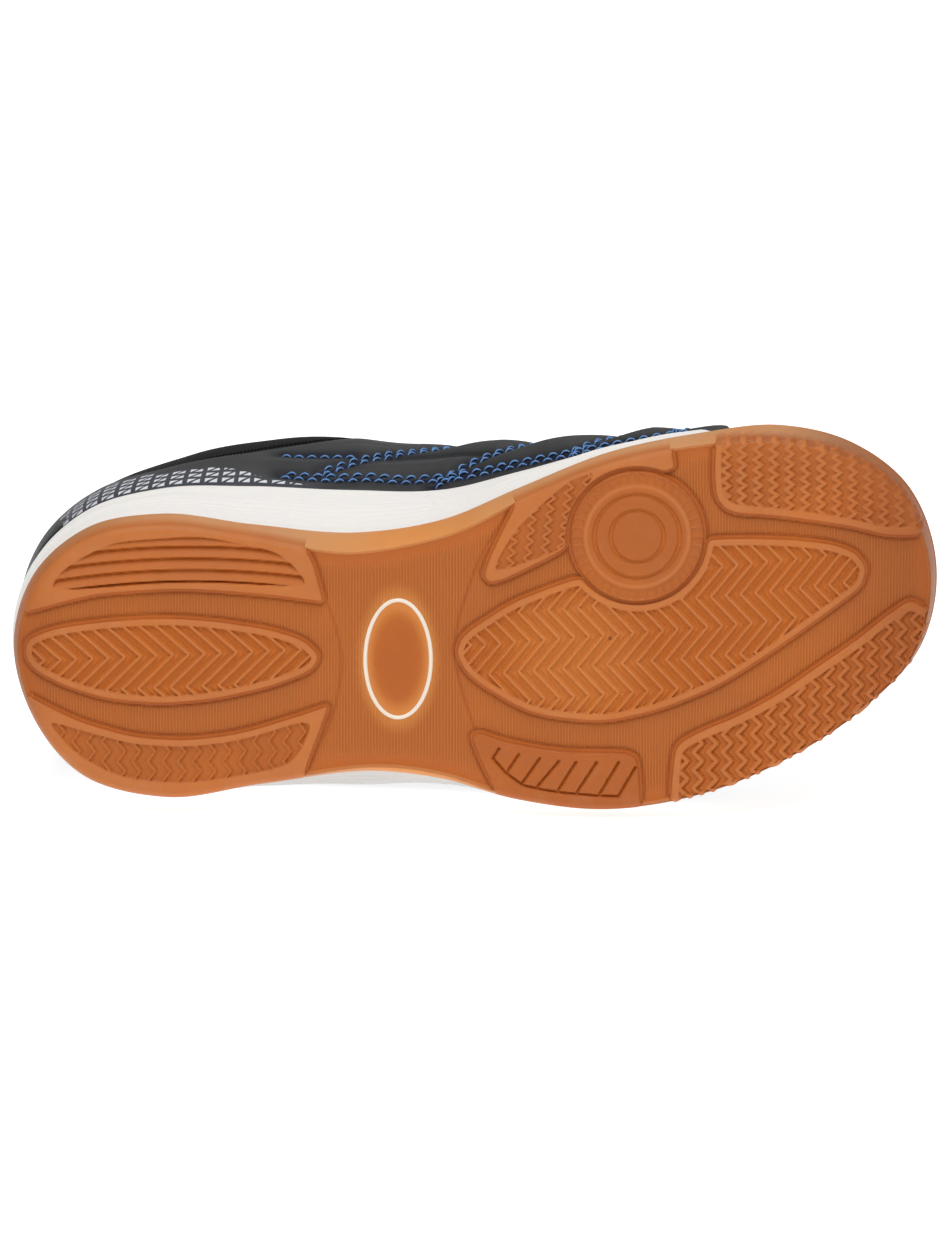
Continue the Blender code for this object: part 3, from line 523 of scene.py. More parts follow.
@dataclass(frozen=True)
class Gum:
    """Translucent natural rubber: paler with wear, a richer and lighter orange painted into the recesses for
    light passing through the thin rubber, painted highlight, shade and glow, finely ribbed in the channels.
    """

    face: Colour = (0.400, 0.109, 0.022)
    # Pale rubber of real wear and of painted highlight on crests, rims and the channel ribs.
    worn: Colour = (0.605, 0.228, 0.070)
    # Richer, lighter orange painted into the recesses for light passing through the thin rubber.
    recess: Colour = (0.545, 0.150, 0.019)
    channel: Colour = (0.445, 0.116, 0.019)
    # Dark brown of painted shade in grooves, notches, along the pads' feet and at the toe and heel ends.
    groove: Colour = (0.280, 0.064, 0.011)
    side: Colour = (0.385, 0.160, 0.060)
    lit_side: Colour = (0.560, 0.262, 0.104)
    # Painted glow of light passing through thin rubber.
    glow: Colour = (0.660, 0.255, 0.060)
    dirt: Colour = (0.20, 0.052, 0.014)
    dust: Colour = (0.50, 0.22, 0.10)
    rib_pitch: float = 0.76
    medial: Span = (-6.0, -20.0)
    medial_back: Span = (8.0, 40.0)
    medial_front: Span = (205.0, 180.0)
    toe_shade: Span = (194.0, 224.0)
    heel_shade: Span = (14.0, -4.0)
    speck: Span = (145.5, -1.5)
    bright: Span = (137.0, 3.0)

    def paint(self) -> Paint:
        """Builds the material.

        Returns:
            The material.
        """
        paint = Paint("gum_rubber", 0.48, 0.20, subsurface=0.15)
        place, x, y, _ = paint.shoe()
        relief, ribbed = paint.attribute("relief"), paint.attribute("ribbed")
        cloud, patch = paint.noise(place, 22.0), paint.noise(place, 6.0)
        grain = paint.noise(place, 0.5, 2.0)
        ribs = x.wave(self.rib_pitch) * ribbed
        # Painted highlight: the medial side, which faces up to the light, gets a paler side colour.
        medial = y.step(*self.medial) * x.step(*self.medial_back) * x.step(*self.medial_front)
        dust = paint.noise(place, 9.0, 5.0).step(0.55, 0.78) * relief.step(0.5, 0.0)
        specks = paint.noise(place, 1.7, 1.0).step(0.77, 0.82) * paint.noise(place, 30.0).step(0.5, 0.6)
        layers = (
            (relief.step(0.15, 1.0), self.recess),
            (relief.step(1.25, 1.5), self.channel),
            (ribs * 0.36, self.worn),
            (paint.attribute("worn") * (0.5 + patch * 0.5), self.worn),
            (paint.attribute("side"), paint.mix(medial, self.side, self.lit_side)),
            (paint.attribute("deep") * 0.75, self.groove),
            (paint.attribute("glow"), self.glow),
            (cloud.step(0.45, 0.72) * 0.30, self.recess),
            # Painted pool of glow on the forefoot.
            (self._near(x, y, self.bright, 420.0, 20.0) * 0.30, self.glow),
            # Painted shade towards the toe and heel ends.
            ((x.step(*self.toe_shade) + x.step(*self.heel_shade)) * 0.55, self.groove),
            (dust * 0.22, self.dust),
            (specks * 0.35, self.dirt),
            (self._near(x, y, self.speck, 0.35, 0.08) * 0.8, self.dirt),
        )
        colour = self.face
        for share, layer in layers:
            colour = paint.mix(share, colour, layer)
        paint.set("Base Color", colour)
        paint.set("Roughness", 0.40 + cloud * 0.10 + grain * 0.12)
        paint.bump(ribs * 0.75 + grain * 0.20, 0.30)
        return paint

    @staticmethod
    def _near(x: Value, y: Value, spot: Span, far: float, close: float) -> Value:
        """Share from 0 at the far one of two squared radii round a spot to 1 at the close one."""
        ahead, aside = x - spot[0], y - spot[1]
        return (ahead * ahead + aside * aside).step(far, close)


@dataclass(frozen=True)
class Foam:
    """White moulded foam, faintly mottled and scuffed, and greyer where a piece paints shade on it."""

    name: str = "white_foam"
    colour: Colour = (0.79, 0.765, 0.735)
    # Grey of the scuffs and of painted shade.
    scuffed_and_shaded: Colour = (0.60, 0.60, 0.59)
    roughness: float = 0.55

    def paint(self) -> Paint:
        """Builds the material.

        Returns:
            The material.
        """
        paint = Paint(self.name, self.roughness, 0.35, subsurface=0.04)
        place, *_ = paint.shoe()
        cloud = paint.noise(place, 16.0)
        grain = paint.noise(place, 0.45, 2.0)
        scuffs = paint.noise(place, 4.0, 4.0).step(0.62, 0.78) * cloud.step(0.45, 0.7)
        # Random scuffs, plus painted shade where the piece gives it.
        soil = (scuffs * 0.30).most(paint.attribute("soil"))
        paint.set("Base Color", paint.mix(soil, self.colour, self.scuffed_and_shaded))
        paint.set("Roughness", self.roughness - 0.06 + grain * 0.14)
        paint.bump(grain, 0.05)
        return paint


@dataclass(frozen=True)
class Leather:
    """Soft black synthetic leather with a fine pebble grain and a printed heel panel, with a painted
    highlight on the puffs and painted shade in the eyelet holes.
    """

    black: Colour = (0.014, 0.0145, 0.016)
    # Grey of random rubbing and of the painted highlight on the puffs.
    worn: Colour = (0.096, 0.096, 0.098)
    navy: Colour = (0.006, 0.011, 0.034)
    print_white: Colour = (0.66, 0.67, 0.71)
    print_grey: Colour = (0.050, 0.053, 0.064)
    print_lilac: Colour = (0.27, 0.27, 0.32)
    print_slate: Colour = (0.085, 0.088, 0.105)
    # Near-black painted into the eyelet dimples as the shade inside a punched hole.
    hole: Colour = (0.004, 0.004, 0.004)
    print_fade: Span = (14.0, 42.0)
    cell_long: float = 4.0
    cell_tall: float = 3.3

    def paint(self) -> Paint:
        """Builds the material.

        Returns:
            The material.
        """
        paint = Paint("black_leather", 0.44, 0.15)
        place, *_ = paint.shoe()
        pebble = paint.cells(place, 0.55)
        cloud = paint.noise(place, 9.0)
        # Random rubbed patches, plus the painted highlight that the upper puts on its puffs.
        rubbed_and_lit = cloud.step(0.35, 0.8) * 0.12 + paint.attribute("worn") * 0.29
        base = paint.mix(rubbed_and_lit, self.black, self.worn)
        printed, ink = self._triangles(paint)
        base = paint.mix(paint.attribute("seam") * 0.7, base, self.navy)
        base = paint.mix(paint.attribute("hole"), base, self.hole)
        paint.set("Base Color", paint.mix(printed, base, ink))
        paint.set("Roughness", 0.36 + cloud * 0.12 + pebble * 0.08)
        paint.bump(1.0 - pebble, 0.05)
        return paint

    def _triangles(self, paint: Paint) -> tuple[Value, Value]:
        """Printed cells of two triangles each.

        Args:
            paint: Material that the nodes go into.

        Returns:
            Where the print covers the leather, and its colour.
        """
        across = paint.attribute("around") / self.cell_long
        up = paint.attribute("height") / self.cell_tall
        right, rise = across.fraction(), up.fraction()
        slant = (right - rise * 0.82 - 0.10).size()
        bars = (right - 0.5).size().step(0.33, 0.38).most((rise - 0.5).size().step(0.27, 0.33))
        dark = bars.most(1.0 - slant.step(0.10, 0.15))
        cell = paint.node("ShaderNodeCombineXYZ", {}, {0: across.whole(), 1: up.whole()})
        chance = paint.node("ShaderNodeTexWhiteNoise", {"noise_dimensions": "2D"}, {"Vector": cell}, "Value")
        panel = paint.attribute("panel")
        fade = paint.attribute("around").step(*self.print_fade)
        light = paint.mix(fade, self.print_lilac, self.print_white)
        ground = paint.mix(fade, self.print_slate, self.print_grey)
        covered = (panel + chance * 0.55 - 0.45).step(0.10, 0.14)
        return covered, paint.mix(dark, light, ground)


@dataclass(frozen=True)
class Cloth:
    """Woven or knitted textile with threads of a given pitch along the mesh's own rows."""

    name: str
    colour: Colour
    light: Colour
    pitch: float
    roughness: float = 0.85
    depth: float = 0.18

    def paint(self) -> Paint:
        """Builds the material.

        Returns:
            The material.
        """
        paint = Paint(self.name, self.roughness, 0.03)
        paint.set("Sheen Weight", 0.14)
        paint.set("Sheen Roughness", 0.35)
        place, *_ = paint.shoe()
        threads = paint.attribute("across").wave(self.pitch) * paint.attribute("along").wave(self.pitch)
        fuzz = paint.noise(place, 0.6, 3.0)
        cloud = paint.noise(place, 12.0)
        paint.set("Base Color", paint.mix(threads * 0.55 + cloud * 0.25, self.colour, self.light))
        paint.set("Roughness", self.roughness - 0.05 + fuzz * 0.1)
        paint.bump(threads * 0.7 + fuzz * 0.3, self.depth)
        return paint


@dataclass(frozen=True)
class Thread:
    """Thick twisted sewing thread."""

    blue: Colour = (0.042, 0.150, 0.45)
    pale: Colour = (0.25, 0.48, 0.82)
    twist: float = 0.34

    def paint(self) -> Paint:
        """Builds the material.

        Returns:
            The material.
        """
        paint = Paint("blue_thread", 0.5, 0.4)
        place, x, y, z = paint.shoe()
        strands = (x + y + z).wave(self.twist)
        share = strands * 0.6 + paint.noise(place, 6.0) * 0.3
        paint.set("Base Color", paint.mix(share, self.blue, self.pale))
        paint.bump(strands, 0.06)
        return paint


class Shape:
    """Points, faces and point values of one piece, gathered in the shoe's own frame."""

    def __init__(self) -> None:
        """Starts without a point."""
        self.points: list[Array] = []
        self.faces: list[tuple[int, ...]] = []
        self.finish_of: list[int] = []
        self.values: dict[str, list[Array]] = {}
        self.count = 0

    def add(self, points: Any, **values: Any) -> Array:
        """Adds points with the numbers that their finish reads.

        Args:
            points: Rows of x, y and z.
            **values: A number, or one for each point, under the name of a mesh attribute.

        Returns:
            The new points' numbers.
        """
        points = np.asarray(points, dtype=float).reshape(-1, 3)
        for name in set(self.values) | set(values):
            rows = self.values.setdefault(name, [np.zeros(self.count)] if self.count else [])
            rows.append(np.broadcast_to(np.asarray(values.get(name, 0.0), dtype=float), len(points)))
        self.points.append(points)
        self.count += len(points)
        return np.arange(self.count - len(points), self.count)

    def face(self, corners: Any, finish: int = 0) -> None:
        """Adds rows of corners as faces.

        Args:
            corners: Rows of point numbers.
            finish: Number of the faces' finish.
        """
        rows = np.asarray(corners, dtype=int)
        self.faces.extend(map(tuple, rows.tolist()))
        self.finish_of.extend([finish] * len(rows))

    def band(self, lower: Array, upper: Array, finish: int = 0) -> None:
        """Quads between two rings of points that run anticlockwise seen from above or outside."""
        self.face(np.stack([lower, np.roll(lower, -1), np.roll(upper, -1), upper], axis=1), finish)

    def grid(self, rings: Sequence[Array], finish: int = 0) -> None:
        """Bands between rings that follow each other."""
        for lower, upper in zip(rings, rings[1:]):
            self.band(lower, upper, finish)

    def tube(self, rings: Sequence[Array]) -> None:
        """Bands through rings of points, closed at both ends."""
        self.grid(rings)
        self.face([rings[0][::-1], rings[-1]])

    def cap(self, ring: Array, upward: bool, inner: Any = ()) -> None:
        """Fills a ring of points.

        Args:
            ring: Numbers of its points.
            upward: Whether the faces look up.
            inner: Numbers of further points inside it.
        """
        flat = np.vstack(self.points)[:, :2]
        numbers = np.concatenate([ring, np.asarray(inner, dtype=int)])
        triangles = numbers[fill(flat[numbers], len(ring))]
        self.face(triangles if upward else triangles[:, ::-1])

    def piece(self, name: str, paints: Sequence[Paint], slot: str, replaced: Sequence[str] = (),
              sharp: Optional[float] = None) -> bpy.types.Object:
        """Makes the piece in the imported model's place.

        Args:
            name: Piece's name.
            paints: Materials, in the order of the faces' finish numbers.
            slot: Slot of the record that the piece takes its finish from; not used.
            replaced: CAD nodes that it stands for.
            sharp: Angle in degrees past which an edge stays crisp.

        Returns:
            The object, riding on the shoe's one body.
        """
        points = np.vstack(self.points)
        mesh = bpy.data.meshes.new(name)
        places = PLACE.points(points)
        # No point lies under the floor.
        places[:, 2] = np.maximum(places[:, 2], 0.0)
        mesh.from_pydata(places.tolist(), [], self.faces)
        mesh.polygons.foreach_set("material_index", np.array(self.finish_of, dtype=np.int32))
        mesh.attributes.new("shoe", "FLOAT_VECTOR", "POINT").data.foreach_set("vector", points.ravel())
        for attribute, rows in self.values.items():
            made = mesh.attributes.new(attribute, "FLOAT", "POINT")
            made.data.foreach_set("value", np.concatenate(rows))
        mesh.shade_smooth()
        if sharp is not None:
            mesh.set_sharp_from_angle(angle=math.radians(sharp))
        made_object = bpy.data.objects.new(name, mesh)
        bpy.context.scene.collection.objects.link(made_object)
        return finish_piece(made_object, paints, replaced)


def finish_piece(piece: bpy.types.Object, paints: Sequence[Paint],
                 replaced: Sequence[str] = ()) -> bpy.types.Object:
    """Dresses a piece and hangs it on the shoe's one body.

    Args:
        piece: The piece.
        paints: Its materials.
        replaced: CAD nodes that it stands for.

    Returns:
        The piece.
    """
    for paint in paints:
        piece.data.materials.append(paint.material)
    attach(piece, "root")
    if replaced:
        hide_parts(*replaced)
    LOG.info("%s: %d faces", piece.name, len(piece.data.polygons))
    return piece


def signed_area(loop: Array) -> float:
    """Area inside a loop, positive where it runs anticlockwise."""
    ahead = np.roll(loop, -1, axis=0)
    return 0.5 * float(np.sum(loop[:, 0] * ahead[:, 1] - ahead[:, 0] * loop[:, 1]))


def fill(points: Array, outline: int) -> Array:
    """Triangles inside a loop.

    Args:
        points: Points of the loop, anticlockwise, then further points inside it.
        outline: Number of points on the loop.

    Returns:
        Corner numbers into the points.
    """
    corners = [Vector(point) for point in points]
    _, _, faces, came_from, _, _ = delaunay_2d_cdt(corners, [], [list(range(outline))], 1, 1e-6)
    return np.array([[came_from[corner][0] for corner in face] for face in faces])


def common_loop(first: Array, second: Array) -> Array:
    """Outline of the area that lies in both of two loops.

    Args:
        first: One loop.
        second: The other.

    Returns:
        The outline, anticlockwise.
    """
    points, faces = [], []
    for loop in (first, second):
        corners = list(range(len(points), len(points) + len(loop)))
        faces.append(corners if signed_area(loop) > 0.0 else corners[::-1])
        points.extend(Vector(point) for point in loop)
    places, _, made, _, _, owners = delaunay_2d_cdt(points, [], faces, 1, 1e-5)
    sides = {(a, b) for face, owner in zip(made, owners) if set(owner) == {0, 1}
             for a, b in zip(face, list(face[1:]) + [face[0]])}
    follows = {a: b for a, b in sides if (b, a) not in sides}
    loop = [next(iter(sorted(follows)))]
    while follows[loop[-1]] != loop[0]:
        loop.append(follows[loop[-1]])
    return np.array([tuple(places[number]) for number in loop])


def inside(loop: Array, points: Array) -> Array:
    """Whether each point lies inside a closed loop.

    Args:
        loop: Points of the loop.
        points: Points in the plane.

    Returns:
        One answer for each point.
    """
    result = np.zeros(len(points), dtype=bool)
    for (x0, y0), (x1, y1) in zip(loop, np.roll(loop, -1, axis=0)):
        spans = (y0 > points[:, 1]) != (y1 > points[:, 1])
        crossing = x0 + (points[:, 1] - y0) * (x1 - x0) / ((y1 - y0) or 1e-12)
        result ^= spans & (points[:, 0] < crossing)
    return result


def line_distance(points: Array, line: Array, closed: bool = False) -> Array:
    """Distance of each point in the plane from a line of points.

    Args:
        points: Points in the plane.
        line: Points of the line.
        closed: Whether it runs back to its start.

    Returns:
        One distance for each point.
    """
    start = line if closed else line[:-1]
    ahead = (np.roll(line, -1, axis=0) if closed else line[1:]) - start
    nearest = np.full(len(points), np.inf)
    for origin, step in zip(start, ahead):
        apart = points - origin
        share = np.clip(apart @ step / max(float(step @ step), 1e-12), 0.0, 1.0)
        apart -= share[:, None] * step
        nearest = np.minimum(nearest, np.einsum("ij,ij->i", apart, apart))
    return np.sqrt(nearest)


def depth_inside(points: Array, loop: Array) -> Array:
    """Distance from a loop, positive inside it."""
    return np.where(inside(loop, points), 1.0, -1.0) * line_distance(points, loop, closed=True)


def tree_of(points: Array) -> KDTree:
    """Search tree of points in the plane or in space.

    Args:
        points: Points to search.

    Returns:
        The tree, which knows them by number.
    """
    tree = KDTree(len(points))
    for number, point in enumerate(points):
        tree.insert((*point, 0.0)[:3], number)
    tree.balance()
    return tree


def nearest_number(points: Array, targets: Array) -> Array:
    """Number of the nearest target in the plane to each point."""
    tree = tree_of(targets)
    return np.array([tree.find((x, y, 0.0))[1] for x, y in points])


def rounded(corners: Any, step: float, passes: int = 2) -> Array:
    """Closed outline with its corners cut round, read at even steps and anticlockwise.

    Args:
        corners: Corners of the outline.
        step: Distance between its points.
        passes: How often the corners are cut.

    Returns:
        Points of the outline.
    """
    loop = np.array(corners, dtype=float)
    for _ in range(passes):
        ahead = np.roll(loop, -1, axis=0)
        loop = np.stack([loop * 0.8 + ahead * 0.2, loop * 0.2 + ahead * 0.8], axis=1).reshape(-1, 2)
    loop = even(loop, step)
    return loop if signed_area(loop) > 0.0 else loop[::-1]


def even(loop: Array, step: float) -> Array:
    """Closed loop read at even steps along its straight sides.

    Args:
        loop: Points of the loop.
        step: Distance between the points wanted.

    Returns:
        The points.
    """
    closed = np.vstack([loop, loop[:1]])
    lengths = running_length(closed)
    places = np.arange(int(lengths[-1] / step)) * lengths[-1] / int(lengths[-1] / step)
    return read_rows(places, lengths, closed)


def grid_inside(loop: Array, step: float, clear: float) -> Array:
    """Staggered grid of points inside a loop and a distance clear of it.

    Args:
        loop: Points of the loop.
        step: Pitch of the grid.
        clear: Least distance from the loop.

    Returns:
        Points of the grid.
    """
    low, high = loop.min(axis=0), loop.max(axis=0)
    xs = np.arange(low[0], high[0], step)
    ys = np.arange(low[1], high[1], step)
    across, up = np.meshgrid(xs, ys)
    across = across + (np.arange(len(ys)) % 2)[:, None] * step / 2
    points = np.column_stack([across.ravel(), up.ravel()])
    points = points[inside(loop, points)]
    return points[line_distance(points, loop, closed=True) > clear]


def loop_normals(loop: Array) -> Array:
    """Outward normals of an anticlockwise loop."""
    ahead = np.roll(loop, -1, axis=0) - np.roll(loop, 1, axis=0)
    return unit(np.stack([ahead[:, 1], -ahead[:, 0]], axis=1))


def zigzag(value: Any, period: float) -> Array:
    """Triangle wave from 0 to half a period and back."""
    return np.abs((np.asarray(value) + period / 2) % period - period / 2)


class Pattern(Enum):
    """What a pad's recess is filled with."""

    CHEVRON = "long chevrons with a thin line between them"
    ZIGZAG = "zigzag bars across the shoe"
    WAVES = "lengthwise ribs that lean to one side"
    RINGS = "turning rings with radial ticks"
    SLASHES = "slanted slots on one long slot"

    @property
    def shade(self) -> float:
        """How much darker the rubber looks at the bottom of the pattern."""
        return {Pattern.ZIGZAG: 0.85, Pattern.WAVES: 0.8, Pattern.CHEVRON: 0.20}.get(self, 0.0)

    @property
    def wear(self) -> float:
        """How much paler the rubber looks on the pattern's crests."""
        return {Pattern.ZIGZAG: 0.42, Pattern.WAVES: 0.35, Pattern.CHEVRON: 0.75}.get(self, 0.0)


DISC = (152.0, -27.0)


def arc(radius: float, start_deg: float, end_deg: float, steps: int) -> list[Span]:
    """Points on an arc round the turning disc, both ends included."""
    angles = np.radians(np.linspace(start_deg, end_deg, steps + 1))
    return [(DISC[0] + radius * math.cos(a), DISC[1] + radius * math.sin(a)) for a in angles]


@dataclass(frozen=True)
class Pad:
    """One raised pad of the tread: its outline, its recess and the pattern in it, in millimetres."""

    name: str
    outline: Points2
    pattern: Pattern
    recess: Points2 = ()
    rim: float = 1.3
    pitch: float = 3.9
    period: float = 3.0
    lean: float = 1.0
    apex: Span = (0.0, 0.0)
    drift: float = 0.0
    depth: float = 0.85
    crest: float = 0.30
    serrated: float = 0.0
    edge_fade: float = 0.0
    plain_wear: float = 0.55

    SLOT_LINE = ((117.0, 28.5), (120.2, 32.2), (124.3, 35.2), (128.4, 36.2), (133.1, 37.0), (142.8, 37.9),
                 (147.7, 38.0))
    SLOTS = (((118.5, 26.0), (117.0, 28.5)), ((123.3, 27.5), (120.4, 32.0)), ((128.4, 28.5), (124.3, 34.5)),
             ((133.1, 29.2), (127.9, 35.5)), ((137.2, 29.5), (132.8, 36.7)), ((142.3, 29.5), (137.4, 37.2)),
             ((147.7, 29.5), (142.8, 37.9)), ((151.8, 30.7), (147.7, 37.9)))
    SLOT_HALF = 0.46
    RING_GROOVES = (10.4, 6.45)
    RING_HALF = 0.62
    TICKS = 40
    TICK_BAND = (13.1, 15.8)
    EDGE = 0.3
    ROLL_WIDTH, ROLL_RADIUS = 0.9, 1.2

    def ridge(self, points: Array) -> Array:
        """Height of the pattern from 0 in its grooves to 1 on its crests.

        Args:
            points: Places in the plane.

        Returns:
            One height for each.
        """
        x, y = points[:, 0], points[:, 1]
        if self.pattern is Pattern.CHEVRON:
            row = y - self.apex[1] - self.drift * (x - self.apex[0])
            turn = (x + self.lean * zigzag(row, self.period)) / self.pitch % 1.0
            crest = bell(zigzag(turn, 1.0), 0.21) * 1.4
            return np.clip(np.maximum(crest, 0.5 * bell(turn - 0.5, 0.12)), 0.0, 1.0)
        if self.pattern is Pattern.ZIGZAG:
            turn = self.turn(points)
            start = 1.0 - self.crest
            top = smoothstep(start - 0.12, start + 0.08, turn) * (1.0 - smoothstep(0.86, 1.0, turn))
            return np.maximum(top, 0.12 + 0.26 * smoothstep(0.0, 0.2, turn))
        if self.pattern is Pattern.WAVES:
            ahead = x - self.apex[0]
            turn = (self.apex[1] + self.drift * ahead + self.lean * ahead ** 2 - y) / self.pitch % 1.0
            return np.clip(smoothstep(0.0, 0.22, turn) * (1.0 - turn ** 1.3), 0.0, 1.0) * 1.25
        return np.zeros(len(points))

    def turn(self, points: Array) -> Array:
        """Way through one zigzag bar, from 0 on its crest to 1 on the next."""
        ahead, up = (points - np.array(self.apex)).T
        return (ahead - self.drift * up - self.lean * zigzag(up, self.period)) / self.pitch % 1.0

    def within(self, points: Array, outline: Array) -> Array:
        """How far into its recess each point is, from 0 to 1.

        Args:
            points: Places in the plane.
            outline: The pad's finished outline.

        Returns:
            One share for each place.
        """
        if self.pattern in (Pattern.RINGS, Pattern.SLASHES):
            return np.zeros(len(points))
        if self.recess:
            return smoothstep(0.0, 0.4, depth_inside(points, rounded(self.recess, 0.5)))
        return smoothstep(0.0, 0.4, depth_inside(points, outline) - self.rim)

    def relief(self, points: Array, outline: Array, open_side: Array) -> tuple[Array, Array, Array]:
        """Depth below the pad's top at points inside its outline.

        Args:
            points: Places in the plane.
            outline: The pad's finished outline.
            open_side: Whether each of its points lies on the sole's edge.

        Returns:
            Depth in millimetres, how pale each point is with wear and painted highlight, and how much painted
            shade it gets, from 0 to 1.
        """
        away = line_distance(points, outline, closed=True)
        rolled = open_side[nearest_number(points, outline)] > 0.5
        wide = np.clip(self.ROLL_WIDTH - away, 0.0, self.ROLL_WIDTH)
        narrow = np.clip(self.EDGE - away, 0.0, self.EDGE)
        fall = np.where(rolled, self.ROLL_RADIUS - np.sqrt(self.ROLL_RADIUS ** 2 - wide ** 2),
                        self.EDGE - np.sqrt(self.EDGE ** 2 - narrow ** 2))
        within, ridge = self.within(points, outline), np.clip(self.ridge(points), 0.0, 1.0)
        if self.edge_fade:
            faded = 1.0 - 0.25 * rolled * (1.0 - smoothstep(0.0, self.edge_fade, away))
            ridge = 1.0 - (1.0 - ridge) * faded
        plain = self.plain_wear * (1.0 - within)
        worn = np.maximum(plain, self.pattern.wear * within * ridge ** 2)
        shade = self.pattern.shade * within * (1.0 - ridge) ** 1.3
        if self.pattern is Pattern.RINGS:
            radius = np.linalg.norm(points - np.array(DISC), axis=1)
            pale = 0.55 * bell(radius - self.TICK_BAND[0] + 0.6, 0.8)
            return np.maximum(fall, self._rings(points)), np.maximum(worn, pale), shade
        if self.pattern is Pattern.SLASHES:
            lines = [np.array(self.SLOT_LINE)] + [np.array(slot) for slot in self.SLOTS]
            apart = np.min([line_distance(points, line) for line in lines], axis=0)
            slots = 1.0 - smoothstep(0.12, self.SLOT_HALF, apart)
            return np.maximum(fall, self.depth * slots), worn, slots * 0.6
        return np.maximum(fall, self.depth * within * (1.0 - 0.9 * ridge)), worn, shade

    def _rings(self, points: Array) -> Array:
        """Depth of the turning disc's round grooves and radial ticks.

        Args:
            points: Places in the plane.

        Returns:
            One depth for each.
        """
        away = points - np.array(DISC)
        radius = np.linalg.norm(away, axis=1)
        grooves = np.max([1.0 - smoothstep(0.3, self.RING_HALF, np.abs(radius - groove))
                          for groove in self.RING_GROOVES], axis=0)
        turn = np.arctan2(away[:, 1], away[:, 0]) * self.TICKS / math.tau % 1.0
        inner, outer = self.TICK_BAND
        band = smoothstep(0.0, 0.35, radius - inner) * smoothstep(0.0, 0.35, outer - radius)
        ticks = band * 0.36 * (1.0 - bell(zigzag(turn, 1.0), 0.2))
        return np.maximum(0.75 * self.depth * grooves, ticks)


